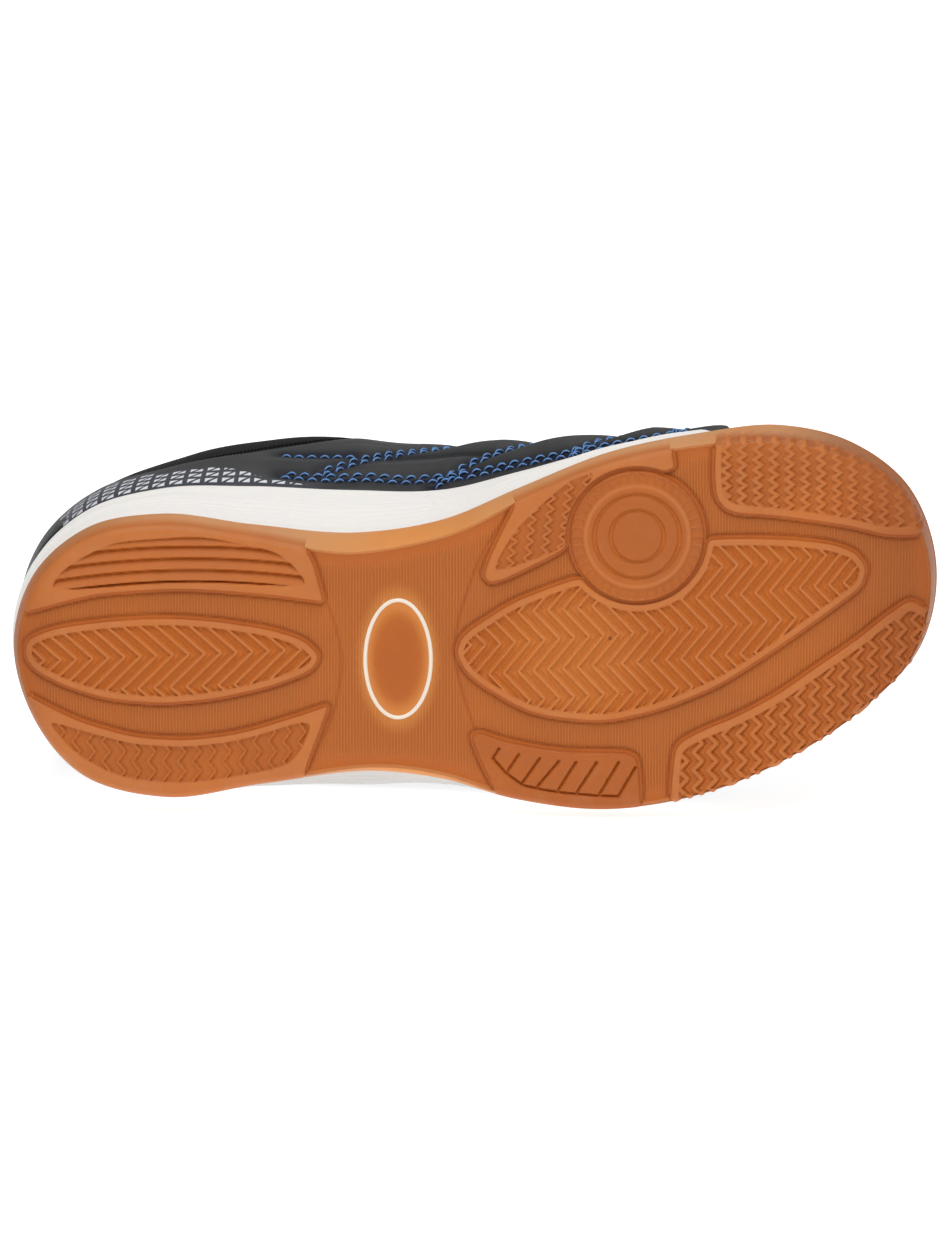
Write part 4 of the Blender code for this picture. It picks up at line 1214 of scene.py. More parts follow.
PADS = (
    Pad("heel_oval",
        ((3.2, 3.4), (3.5, -1.0), (10.2, -3.9), (23.1, -5.7), (37.5, -6.5), (49.1, -5.7), (62.3, -3.7),
         (70.8, -1.0), (74.7, 3.0), (72.7, 6.5), (62.3, 10.5), (49.1, 13.5), (36.2, 14.7), (23.1, 13.5),
         (13.4, 10.5), (5.6, 6.5)),
        Pattern.CHEVRON, pitch=3.9, period=16.0, lean=1.05, apex=(18.0, 3.5), drift=-0.044),
    Pad("heel_medial",
        ((-2.0, -6.5), (11.9, -10.7), (21.9, -13.0), (41.6, -14.2), (61.5, -12.7), (73.6, -11.1),
         (75.6, -10.7), (75.0, -13.2), (73.0, -21.0), (67.9, -28.5), (66.0, -40.0), (-2.0, -40.0)),
        Pattern.WAVES,
        ((9.0, -13.0), (41.6, -15.7), (71.3, -14.2), (71.3, -16.5), (67.9, -20.5), (64.0, -23.5),
         (50.0, -26.6), (43.5, -27.2), (26.0, -25.9), (22.0, -24.4), (15.8, -21.2), (11.2, -17.6)),
        pitch=2.9, apex=(38.1, -15.6), drift=-0.0276, lean=0.0024, depth=1.3),
    Pad("heel_lateral",
        ((-2.0, 9.5), (4.6, 13.7), (16.5, 19.7), (29.7, 23.5), (42.6, 24.2), (55.7, 22.5), (74.4, 16.5),
         (76.8, 15.6), (75.8, 18.4), (70.8, 31.7), (68.0, 44.0), (-2.0, 44.0)),
        Pattern.ZIGZAG,
        ((7.6, 18.6), (16.6, 21.3), (29.7, 24.9), (42.6, 25.5), (55.7, 23.8), (73.6, 18.0), (70.1, 27.2),
         (65.4, 31.2), (42.6, 35.2), (26.3, 33.7), (15.3, 27.7)),
        pitch=3.68, period=5.0, lean=0.74, apex=(14.85, 24.3), crest=0.26),
    Pad("leaf",
        ((111.4, 8.2), (108.0, 2.7), (109.7, -2.2), (121.4, -10.2), (129.6, -13.5),
         *arc(17.3, 143.0, 4.0, 14), (172.0, -26.2), (180.9, -26.2), (190.7, -25.6), (199.6, -24.2),
         (205.2, -21.9), (208.0, -17.9), (206.6, -13.6), (203.0, -10.8), (186.3, 0.9), (171.9, 10.2),
         (157.6, 16.2), (144.5, 19.2), (132.3, 18.2), (124.3, 16.2)),
        Pattern.CHEVRON, pitch=3.6, period=14.8, lean=0.865, apex=(121.0, -0.5), drift=-0.083),
    Pad("ball_medial",
        ((117.0, -15.0), (114.2, -17.5), (126.0, -42.0), (126.0, -56.0), (158.5, -56.0), (160.4, -47.0),
         (160.9, -44.2), (159.6, -43.7), *arc(17.5, -68.0, -190.0, 16)),
        Pattern.ZIGZAG,
        ((117.8, -17.8), (134.6, -23.8), (134.8, -28.7), (135.9, -33.7), (138.4, -37.7), (141.6, -42.0),
         (140.4, -43.2), (135.5, -40.9), (129.6, -35.9), (122.2, -28.6), (117.4, -20.2)),
        pitch=3.95, period=2.7, lean=1.25, drift=-0.13, depth=0.8, crest=0.34),
    Pad("turning_disc", tuple(arc(16.15, 0.0, 354.0, 59)), Pattern.RINGS, plain_wear=0.0),
    Pad("toe_medial",
        ((171.5, -62.0), (170.5, -37.7), (174.1, -33.0), (184.8, -32.2), (197.0, -30.2), (205.0, -28.5),
         (213.0, -26.1), (221.0, -25.7), (230.0, -29.0), (230.0, -62.0)),
        Pattern.ZIGZAG,
        ((172.6, -60.0), (172.0, -38.3), (175.0, -34.7), (184.8, -33.8), (197.0, -31.9), (205.0, -30.1),
         (212.5, -27.9), (219.0, -27.6), (222.5, -29.0), (232.0, -33.0), (232.0, -60.0)),
        pitch=3.86, period=2.55, lean=1.35, serrated=0.3, edge_fade=8.0, crest=0.5),
    Pad("toe_lateral",
        ((160.0, 48.0), (161.2, 27.0), (163.0, 24.5), (168.5, 21.5), (176.6, 18.2), (186.3, 13.1),
         (195.8, 6.5), (205.5, 0.2), (212.6, -5.4), (218.9, -9.6), (223.3, -6.5), (232.0, -2.0),
         (232.0, 48.0)),
        Pattern.ZIGZAG,
        ((161.8, 48.0), (162.7, 27.6), (164.3, 25.6), (169.0, 23.1), (177.2, 19.8), (187.1, 14.6),
         (196.7, 8.0), (206.4, 1.7), (213.3, -3.8), (218.7, -7.4), (222.0, -5.2), (231.0, 0.0),
         (231.0, 48.0)),
        pitch=3.55, period=4.5, lean=0.95, depth=1.15, serrated=0.75, crest=0.48),
    Pad("ball_lateral",
        ((111.6, 23.7), (113.3, 22.2), (120.1, 24.5), (128.4, 26.2), (136.4, 27.2), (149.6, 27.2),
         (152.5, 29.0), (153.2, 48.0), (123.0, 48.0)),
        Pattern.SLASHES, depth=0.9, plain_wear=0.0),
)


@dataclass
class Tread:
    """The raised pads under the sole, each with a stepped foot, in millimetres."""

    grid: float = 0.28
    edge_step: float = 0.36
    limit_reach: float = -0.5
    # Foot rows: reach out, depth, relief that picks the colour, and painted shade.
    foot: tuple[tuple[float, float, float, float], ...] = (
        (0.05, 0.50, 0.0, 0.15), (0.10, 0.86, 1.5, 0.80), (0.26, 0.92, 1.5, 0.30), (0.66, 0.98, 1.5, 0.15),
        (0.76, 1.15, 1.5, 0.40), (0.82, 1.60, 1.5, 0.80), (0.86, 1.95, 1.5, 0.80))
    roll: tuple[Span, ...] = (
        (0.10, 0.85), (0.11, 1.7), (0.10, 2.7), (0.08, 3.7), (0.06, 4.7), (0.03, 5.6), (-0.30, 6.2))
    tall: float = 1.5
    over_edge: float = 0.55
    edge_near: float = 0.12
    tooth_root: float = 0.6
    open_border: float = 0.406
    notch: float = 0.4
    # Painted shade in the notches of a serrated edge.
    notch_dark: float = 0.7
    stations: Stations = field(default_factory=lambda: Stations(520))
    outlines: dict[str, tuple[Array, Array]] = field(default_factory=dict)

    def __post_init__(self) -> None:
        """Cuts every pad's outline to the sole's edge, and finds how far each point belongs to that edge."""
        limit = self.stations.ring(self.limit_reach, 0.0)[:, :2]
        for pad in PADS:
            loop = rounded(pad.outline, self.edge_step)
            open_side = np.zeros(len(loop))
            if not inside(limit, loop).all():
                loop = even(common_loop(loop, limit), self.edge_step)
                on_edge = (line_distance(loop, limit, closed=True) < self.edge_near).astype(float)
                open_side = np.mean([np.roll(on_edge, shift) for shift in (-2, -1, 0, 1, 2)], axis=0)
            self.outlines[pad.name] = loop, open_side

    def build(self, gum: Paint) -> None:
        """Makes every pad as a piece of its own."""
        for pad in PADS:
            self._pad(pad, gum)

    @staticmethod
    def _between(rows: Sequence[tuple[float, ...]]) -> Array:
        """Rows with two more between each two."""
        places = np.linspace(0.0, len(rows) - 1.0, 3 * len(rows) - 2)
        return read_rows(places, np.arange(len(rows)), np.array(rows))

    def _pad(self, pad: Pad, gum: Paint) -> None:
        """One pad: patterned face, stepped foot, rolled over the sole's edge and closed underneath.

        Args:
            pad: The pad.
            gum: Its rubber.
        """
        loop, open_side = self.outlines[pad.name]
        normals = loop_normals(loop)
        inner = grid_inside(loop, self.grid, self.grid * 0.6)
        scallop = 0.5 + 0.5 * np.cos(math.tau * pad.turn(loop)) if pad.serrated else np.ones(len(loop))
        if pad.edge_fade:
            scallop = np.clip(pad.ridge(loop), 0.0, 1.0)
        teeth = pad.serrated * open_side * (scallop - self.tooth_root)
        shape = Shape()

        def put(flat: Array, down: Any, **values: Any) -> Array:
            """Points at a depth below the pad's face."""
            level = lift(flat[:, 0]) + down
            return shape.add(np.column_stack([flat, level]), **{"relief": down, **values})

        depth, worn, shade = pad.relief(inner, loop, open_side)
        border = pad.EDGE + (self.open_border - pad.EDGE + self.notch * (1.0 - scallop)) * open_side
        notch = self.notch_dark * open_side * (1.0 - scallop)
        ring = put(loop + normals * teeth[:, None] * 0.5, border, relief=0.0, deep=notch, worn=pad.plain_wear)
        shape.cap(ring, upward=False, inner=put(inner, depth, worn=worn, deep=shade))
        station = nearest_number(loop, self.stations.edge)
        flare, wrap = self.stations.flare[station], self.stations.wrap[station] - lift(loop[:, 0])
        foot, roll = self._between(self.foot), self._between(self.roll)
        for step, ((out, sunk, tint, dark), (proud, height)) in enumerate(zip(foot, roll)):
            height = height * (self.tall if pad.serrated else 1.0)
            fade = (1.0 - step / (len(roll) - 1)) ** 0.5
            spread = 0.0 * open_side
            if pad.edge_fade:
                spread = open_side * (1.0 - smoothstep(0.0, pad.edge_fade, height))
            ridge = np.clip(pad.ridge(loop + normals * (height - self.limit_reach)), 0.0, 1.0)
            tall = wrap - Outsole.lip - Outsole.edge_level
            share = np.clip((height - Outsole.edge_level) / tall, 0.0, 1.0)
            rolled = flare * (1.0 - (1.0 - share) ** 2) + proud - self.limit_reach + teeth * fade
            rolled = rolled + self.over_edge * spread * ridge
            reach = out * (1.0 - open_side) + rolled * open_side
            down = np.maximum(sunk * (1.0 - open_side) + height * open_side, border)
            lower = put(loop + normals * reach[:, None], down, relief=tint * (1.0 - open_side),
                        worn=np.where(spread > 0.0, pad.pattern.wear * spread * ridge ** 2,
                                      pad.plain_wear * np.maximum(0.5 * open_side, float(step == 0))),
                        side=open_side * smoothstep(1.0, 5.0, height) * (1.0 - spread),
                        deep=np.maximum(notch * fade * (1.0 - spread), dark * (1.0 - open_side))
                        + 0.6 * spread * (1.0 - ridge))
            shape.band(ring, lower)
            ring = lower
        shape.cap(ring, upward=True)
        shape.piece("tread_" + pad.name, [gum], "gum_rubber", sharp=50.0)


@dataclass
class Outsole:
    """Gum rubber cup under the pads: channelled floor, rolled side and the bumper over the toe."""

    count: int = 560
    side_rows: int = 34
    fine: float = 0.42
    coarse: float = 1.5
    near: float = 2.3
    floor_reach: float = -0.8
    edge_level: float = 0.9
    lip: float = 0.5
    bead_drop: float = 2.3
    bead: float = 0.28
    bead_half: float = 0.8
    bead_wrap: Span = (10.0, 14.0)
    waist_at: float = 96.0
    waist_half: float = 38.0
    waist_glow: float = 0.8
    groove_half: float = 0.6
    groove: float = 0.25

    WAIST_LINES = (((67.9, -28.5), (75.5, -13.0), (80.0, 3.7), (77.5, 19.0), (70.8, 31.7)),
                   ((124.8, -39.0), (112.5, -18.0), (107.8, 2.5), (112.0, 20.0), (119.7, 37.0)))

    def build(self, gum: Paint, outlines: Sequence[Array]) -> None:
        """Makes the piece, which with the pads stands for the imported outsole.

        Args:
            gum: Its rubber.
            outlines: Outlines of the pads.
        """
        rim, shape = Stations(self.count), Shape()
        floor = lift(rim.x)
        ring = shape.add(rim.ring(self.floor_reach, lambda x: lift(x) + B.tread_depth), relief=1.5)
        inner = self._floor(shape, rim.ring(self.floor_reach, 0.0)[:, :2], outlines)
        shape.cap(ring, upward=False, inner=inner)
        rows = [ring]
        for share in (0.35, 0.7):
            reach = self.floor_reach * (1.0 - share)
            level = B.tread_depth - (B.tread_depth - self.edge_level) * share ** 1.7
            rows.append(shape.add(rim.ring(reach, lambda x: lift(x) + level), relief=1.0, side=0.5))
        low, high = floor + self.edge_level, rim.wrap - self.lip
        # Painted glow along the thin gum of the waist.
        waist = self.waist_glow * bell(rim.x - self.waist_at, self.waist_half)
        for share in np.linspace(0.0, 1.0, self.side_rows):
            height = low + (high - low) * share
            beaded = self.bead * bell(rim.wrap - height - self.bead_drop, self.bead_half)
            reach = rim.flare * (1.0 - (1.0 - share) ** 2) + beaded * smoothstep(*self.bead_wrap, rim.wrap)
            rows.append(shape.add(rim.ring(reach, height), side=1.0, glow=waist))
        for inward, drop in ((0.08, 0.25), (0.28, 0.06), (0.6, 0.0)):
            rows.append(shape.add(rim.ring(rim.flare - inward, rim.wrap - drop), side=1.0, glow=waist))
        rows.append(shape.add(rim.ring(rim.gum_inside(rim.wrap), rim.wrap - 0.2), side=1.0))
        rows.append(shape.add(rim.ring(rim.gum_inside(0.0), lambda x: lift(x) + B.outsole), side=1.0))
        shape.grid(rows)
        shape.cap(rows[-1], upward=True)
        shape.piece("outsole_body", [gum], "gum_rubber", ["outsole"])

    def _floor(self, shape: Shape, border: Array, outlines: Sequence[Array]) -> Array:
        """Points of the channelled floor, closer together at the pads' feet and the arcs across the waist.

        Args:
            shape: Piece that they join.
            border: Edge of the floor.
            outlines: Outlines of the pads.

        Returns:
            The points' numbers.
        """
        arcs = [along(line, 1.0) for line in self.WAIST_LINES]
        grids = []
        for step in (self.fine, self.coarse):
            flat = grid_inside(border, step, step * 0.6)
            to_pads = np.min([line_distance(flat, loop, closed=True) for loop in outlines], axis=0)
            to_arcs = np.min([line_distance(flat, line) for line in arcs], axis=0)
            keep = (np.minimum(to_pads, to_arcs) < self.near) == (step == self.fine)
            grids.append(np.column_stack([flat, to_pads, to_arcs])[keep])
        rows = np.vstack(grids)
        flat, to_pads, to_arcs = rows[:, :2], rows[:, 2], rows[:, 3]
        # Painted shade along the pads' feet and the arcs across the waist; the same share also sinks the
        # floor into shallow grooves.
        deep = np.maximum(0.95 * bell(to_pads - 1.1, 0.5), 0.8 * bell(to_arcs, self.groove_half))
        window = (flat - np.array(WindowRing.centre)) / np.array(WindowRing.half_axes)
        out = np.linalg.norm(window, axis=1)
        ribbed = smoothstep(1.0, 1.02, out) * smoothstep(0.3, 4.5, line_distance(flat, border, closed=True))
        level = lift(flat[:, 0]) + B.tread_depth + self.groove * deep
        # Painted glow round the window ring.
        glow = 0.85 * bell(out - 1.0, 0.34)
        # Painted shade in the middle of the window.
        deep = np.maximum(deep, 0.22 * (1.0 - smoothstep(0.35, 0.85, out)))
        return shape.add(np.column_stack([flat, level]), relief=B.tread_depth, ribbed=ribbed * (1.0 - deep),
                         deep=deep, glow=glow)


@dataclass
class WindowRing:
    """White oval ring let into the waist of the outsole."""

    centre: Span = (93.85, 4.55)
    half_axes: Span = (8.0, 14.7)
    half_width: float = 0.62
    proud: float = 0.2
    steps: int = 128
    tube: float = 0.25
    tall: float = 0.7

    def build(self, rubber: Paint) -> None:
        """Turns a torus primitive into an oval that follows the arch of the waist.

        Args:
            rubber: Its rubber.
        """
        bpy.ops.object.select_all(action="DESELECT")
        bpy.ops.mesh.primitive_torus_add(major_segments=self.steps, minor_segments=16, major_radius=1.0,
                                         minor_radius=self.tube)
        piece = bpy.context.object
        piece.name = piece.data.name = "window_ring_visual"
        points = np.zeros(len(piece.data.vertices) * 3)
        piece.data.vertices.foreach_get("co", points)
        points = points.reshape(-1, 3)
        turn = np.arctan2(points[:, 1], points[:, 0])
        out = (np.hypot(points[:, 0], points[:, 1]) - 1.0) / self.tube * self.half_width
        axes = np.array(self.half_axes)
        oval = np.column_stack([np.cos(turn), np.sin(turn)])
        flat = np.array(self.centre) + oval * axes + unit(oval / axes) * out[:, None]
        level = lift(flat[:, 0]) + B.tread_depth - self.proud + self.half_width
        level = level + points[:, 2] / self.tube * self.tall
        shoe = np.column_stack([flat, level])
        piece.data.vertices.foreach_set("co", PLACE.points(shoe).ravel())
        piece.data.attributes.new("shoe", "FLOAT_VECTOR", "POINT").data.foreach_set("vector", shoe.ravel())
        piece.data.shade_smooth()
        piece.data.update()
        finish_piece(piece, [rubber], ["window_ring"])


@dataclass
class Midsole:
    """White foam cup with fine level ribs on its bare sides."""

    count: int = 560
    rib_pitch: float = 1.35
    rib: float = 0.30
    bulge: float = 1.0
    lateral: float = 1.6
    lateral_middle: float = 80.0
    lateral_half: float = 42.0
    ledge_inset: float = 0.4
    side_rows: int = 46
    # Span of y over which painted shade greys the lateral side; no scuffs come from it.
    scuffed_and_shaded: Span = (6.0, 24.0)
    ribbed_height: Span = (3.0, 9.0)

    def build(self, foam: Paint) -> None:
        """Makes the piece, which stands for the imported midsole.

        Args:
            foam: Its foam.
        """
        rim, shape = Stations(self.count), Shape()
        shoulder = np.minimum(rim.wrap + 0.1, rim.rim - 2.5)
        ledge = np.minimum(rim.wrap + 0.35, rim.rim - 2.0)
        middle = np.where(rim.bare > 0.0, (rim.wrap + rim.rim) / 2, rim.rim - 1.4)
        hidden = rim.gum_inside(middle) - B.seat_gap
        side = hidden + ((rim.flare + rim.rim_out) / 2 + self.bulge - hidden) * rim.bare
        inner = rim.gum_inside(ledge) - B.seat_gap
        ledge_reach = inner + (rim.flare - self.ledge_inset - inner) * rim.bare
        rows = [shape.add(rim.ring(rim.gum_inside(0.0) - B.gap, lambda x: lift(x) + B.outsole + B.gap)),
                shape.add(rim.ring(rim.gum_inside(shoulder) - B.seat_gap, shoulder))]
        top = rim.rim - 0.7
        fuller = self.lateral * bell(rim.x - self.lateral_middle, self.lateral_half) * (rim.y > 0.0)
        # Painted shade on the lateral side, which faces the floor.
        soil = smoothstep(*self.scuffed_and_shaded, rim.y)
        tall_side = smoothstep(*self.ribbed_height, top - ledge)
        for share in np.linspace(0.0, 1.0, self.side_rows):
            height = ledge + (top - ledge) * share
            at = (middle - ledge) / (top - ledge)
            low = ledge_reach + (side - ledge_reach) * (share / at)
            high = side + (rim.rim_reach - side) * ((share - at) / (1.0 - at))
            reach = np.where(share < at, low, high)
            round_off = rim.bare * 0.5 * bell(share - at, 0.45)
            ribs = np.sin(math.tau * (height - ledge) / self.rib_pitch) * 0.5 - 0.5
            clear = smoothstep(0.0, 1.2, height - ledge) * smoothstep(0.2, 1.6, top - height)
            reach = reach - round_off * 0.3 + self.rib * ribs * clear * rim.bare * tall_side
            reach = reach + fuller * float(smoothstep(0, 0.5, share))
            rows.append(shape.add(rim.ring(reach, height), soil=soil))
        for inward, drop in ((0.04, 0.4), (0.16, 0.16), (0.4, 0.0)):
            rows.append(shape.add(rim.ring(rim.rim_reach + fuller - inward, rim.rim - drop)))
        rows.append(shape.add(rim.ring(rim.cup_reach, rim.rim)))
        rows.append(shape.add(rim.ring(rim.floor_reach, footbed)))
        shape.grid(rows)
        shape.cap(rows[0], upward=False)
        shape.cap(rows[-1], upward=True)
        shape.piece("midsole_visual", [foam], "white_foam", ["midsole"], sharp=40.0)


@dataclass
class Insole:
    """Cloth-covered footbed, dished a little under the heel."""

    count: int = 300
    grid: float = 2.2
    chamfer: float = 1.2
    dish: float = 1.0
    dish_edge: float = 14.0
    dish_end: Span = (50.0, 90.0)

    def build(self, cloth: Paint) -> None:
        """Makes the piece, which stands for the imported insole.

        Args:
            cloth: Its cover.
        """
        rim, shape = Stations(self.count), Shape()
        reach = rim.floor_reach - B.seat_gap - B.wall - B.seat_gap
        low, high = B.gap, B.gap + B.insole
        profile = ((self.chamfer, low), (0.2, low + 0.4), (0.0, low + 1.2), (0.0, high - self.chamfer),
                   (0.35, high - 0.35), (self.chamfer, high))
        rows = []
        for inward, level in profile:
            flat = rim.ring(reach - inward, 0.0)[:, :2]
            rows.append(self._put(shape, flat, np.full(len(flat), level)))
        shape.grid(rows)
        border = rim.ring(reach - self.chamfer, 0.0)[:, :2]
        flat = grid_inside(border, self.grid, self.grid * 0.6)
        sunk = smoothstep(0.0, self.dish_edge, line_distance(flat, border, closed=True))
        sunk = sunk * (1.0 - smoothstep(*self.dish_end, flat[:, 0]))
        shape.cap(rows[0], upward=False)
        shape.cap(rows[-1], upward=True, inner=self._put(shape, flat, high - self.dish * sunk))
        piece = shape.piece("insole_visual", [cloth], "insole_fabric", ["insole"])

    @staticmethod
    def _put(shape: Shape, flat: Array, level: Array) -> Array:
        """Points at a height over the midsole's floor."""
        points = np.column_stack([flat, footbed(flat[:, 0]) + level])
        return shape.add(points, across=flat[:, 1], along=flat[:, 0])


@dataclass(frozen=True)
class Seam:
    """A line sewn over the side: its x and height, the offsets of its rows of thread, and its stitches."""

    points: Points2
    rows: tuple[float, ...] = (-0.95, 0.95)
    pitch: float = 3.3
    thread: float = 0.25

    SIDES, SHARE, BOW, SLANT, SINK, ARCH = 6, 0.86, 0.42, 0.5, 0.55, 0.95
    TAPER = (0.6, 0.95, 1.0, 1.0, 1.0, 0.95, 0.6)


SEAMS = (
    Seam(((64.0, 34.5), (70.0, 33.3), (77.0, 32.4), (88.0, 32.0), (94.0, 31.3), (102.0, 30.7), (112.0, 28.4),
          (119.0, 26.8), (128.0, 24.9), (136.0, 23.0), (142.5, 21.8), (149.0, 21.0), (156.0, 20.1),
          (160.0, 19.9), (166.0, 19.8))),
    Seam(((73.7, 34.3), (79.8, 36.3), (84.2, 37.9), (89.4, 40.2), (92.7, 42.4), (97.9, 45.1), (112.0, 54.0),
          (118.0, 58.6), (123.0, 63.0))),
    Seam(((101.4, 28.2), (104.4, 29.2), (108.4, 30.9), (111.2, 32.5), (113.6, 33.0), (116.4, 33.9),
          (119.7, 34.5), (126.0, 38.0), (134.0, 44.0), (140.0, 50.0))),
    Seam(((134.8, 22.1), (137.8, 23.8), (140.7, 25.3), (143.7, 26.8), (150.0, 30.5), (156.0, 35.0),
          (160.5, 39.5))),
    Seam(((160.1, 20.8), (161.9, 23.2), (165.0, 25.0), (168.0, 27.0), (174.0, 31.0), (178.5, 34.6))),
    Seam(((64.0, 45.9), (68.7, 44.0), (74.8, 42.3), (83.7, 39.8), (86.0, 38.8)), (0.0,)),
    Seam(((89.0, 39.5), (98.0, 41.0), (110.0, 39.5), (115.5, 35.0), (117.0, 34.0)), ()),
)


class Face:
    """Outer face of the upper as rows of stations, with its normals and the way down from its edge."""

    THROAT = (88.0, 99.0)

    def __init__(self, count: int, rows: int) -> None:
        """Draws the side from the sole's rim to the upper's edge at every station.

        Args:
            count: Number of stations.
            rows: Number of points up the side.
        """
        rim = self.rim = Stations(count)
        start = rim.ring(rim.cup_reach - B.seat_gap, rim.rim + B.gap)
        inward = unit(start[:, :2] - rim.top[:, :2] + B.outward_lean * rim.normal)
        leave = start + np.column_stack([rim.normal * rim.swell[:, None], rim.rise])
        arrive = rim.top + np.column_stack([inward * rim.reach[:, None], -rim.drop])
        self.share = np.linspace(0.0, 1.0, rows)
        t = self.share[:, None, None]
        self.points = ((1 - t) ** 3 * start + 3 * t * (1 - t) ** 2 * leave + 3 * t * t * (1 - t) * arrive
                       + t ** 3 * rim.top)
        self.normals = self.outward(self.points)
        steps = np.linalg.norm(np.diff(self.points, axis=0), axis=2)
        self.up = np.vstack([np.zeros(count), np.cumsum(steps, axis=0)])
        self.down = self.up[-1] - self.up
        self.medial = np.arange(count) <= int(np.argmax(rim.x))
        self.throat = smoothstep(*self.THROAT, rim.top[:, 0])

    @staticmethod
    def outward(points: Array) -> Array:
        """Outward unit normals of a grid of rows that close on themselves."""
        normals = np.cross(np.roll(points, -1, 1) - np.roll(points, 1, 1), np.gradient(points, axis=0))
        return normals / np.maximum(np.linalg.norm(normals, axis=2), 1e-9)[..., None]

    def on_side(self, line: Points2, medial: bool, step: float = 0.4) -> tuple[Array, Array]:
        """Lays a line of x and height on one side.

        Args:
            line: Knots of the line.
            medial: Whether it lies on the medial side.
            step: Distance between the points wanted.

        Returns:
            Points on the face and its normals there.
        """
        use = (self.medial == medial)[None, :] & (self.share < 0.985)[:, None]
        points, normals = self.points[use], self.normals[use]
        tree = tree_of(points[:, [0, 2]])
        found = []
        for x, z in along(line, step):
            near = tree.find_n((x, z, 0.0), 6)
            weight = np.array([1.0 / (distance + 0.05) for _, _, distance in near])
            rows = [number for _, number, _ in near]
            found.append(np.concatenate([weight @ points[rows], weight @ normals[rows]]) / weight.sum())
        rows = smooth_rows(np.array(found), 9)
        return rows[:, :3], unit(rows[:, 3:])


def smooth_rows(rows: Array, window: int) -> Array:
    """Moving average of rows, with the ends held."""
    padded = np.pad(rows, ((window // 2, window // 2), (0, 0)), mode="edge")
    return np.column_stack([np.convolve(column, np.ones(window) / window, "valid") for column in padded.T])


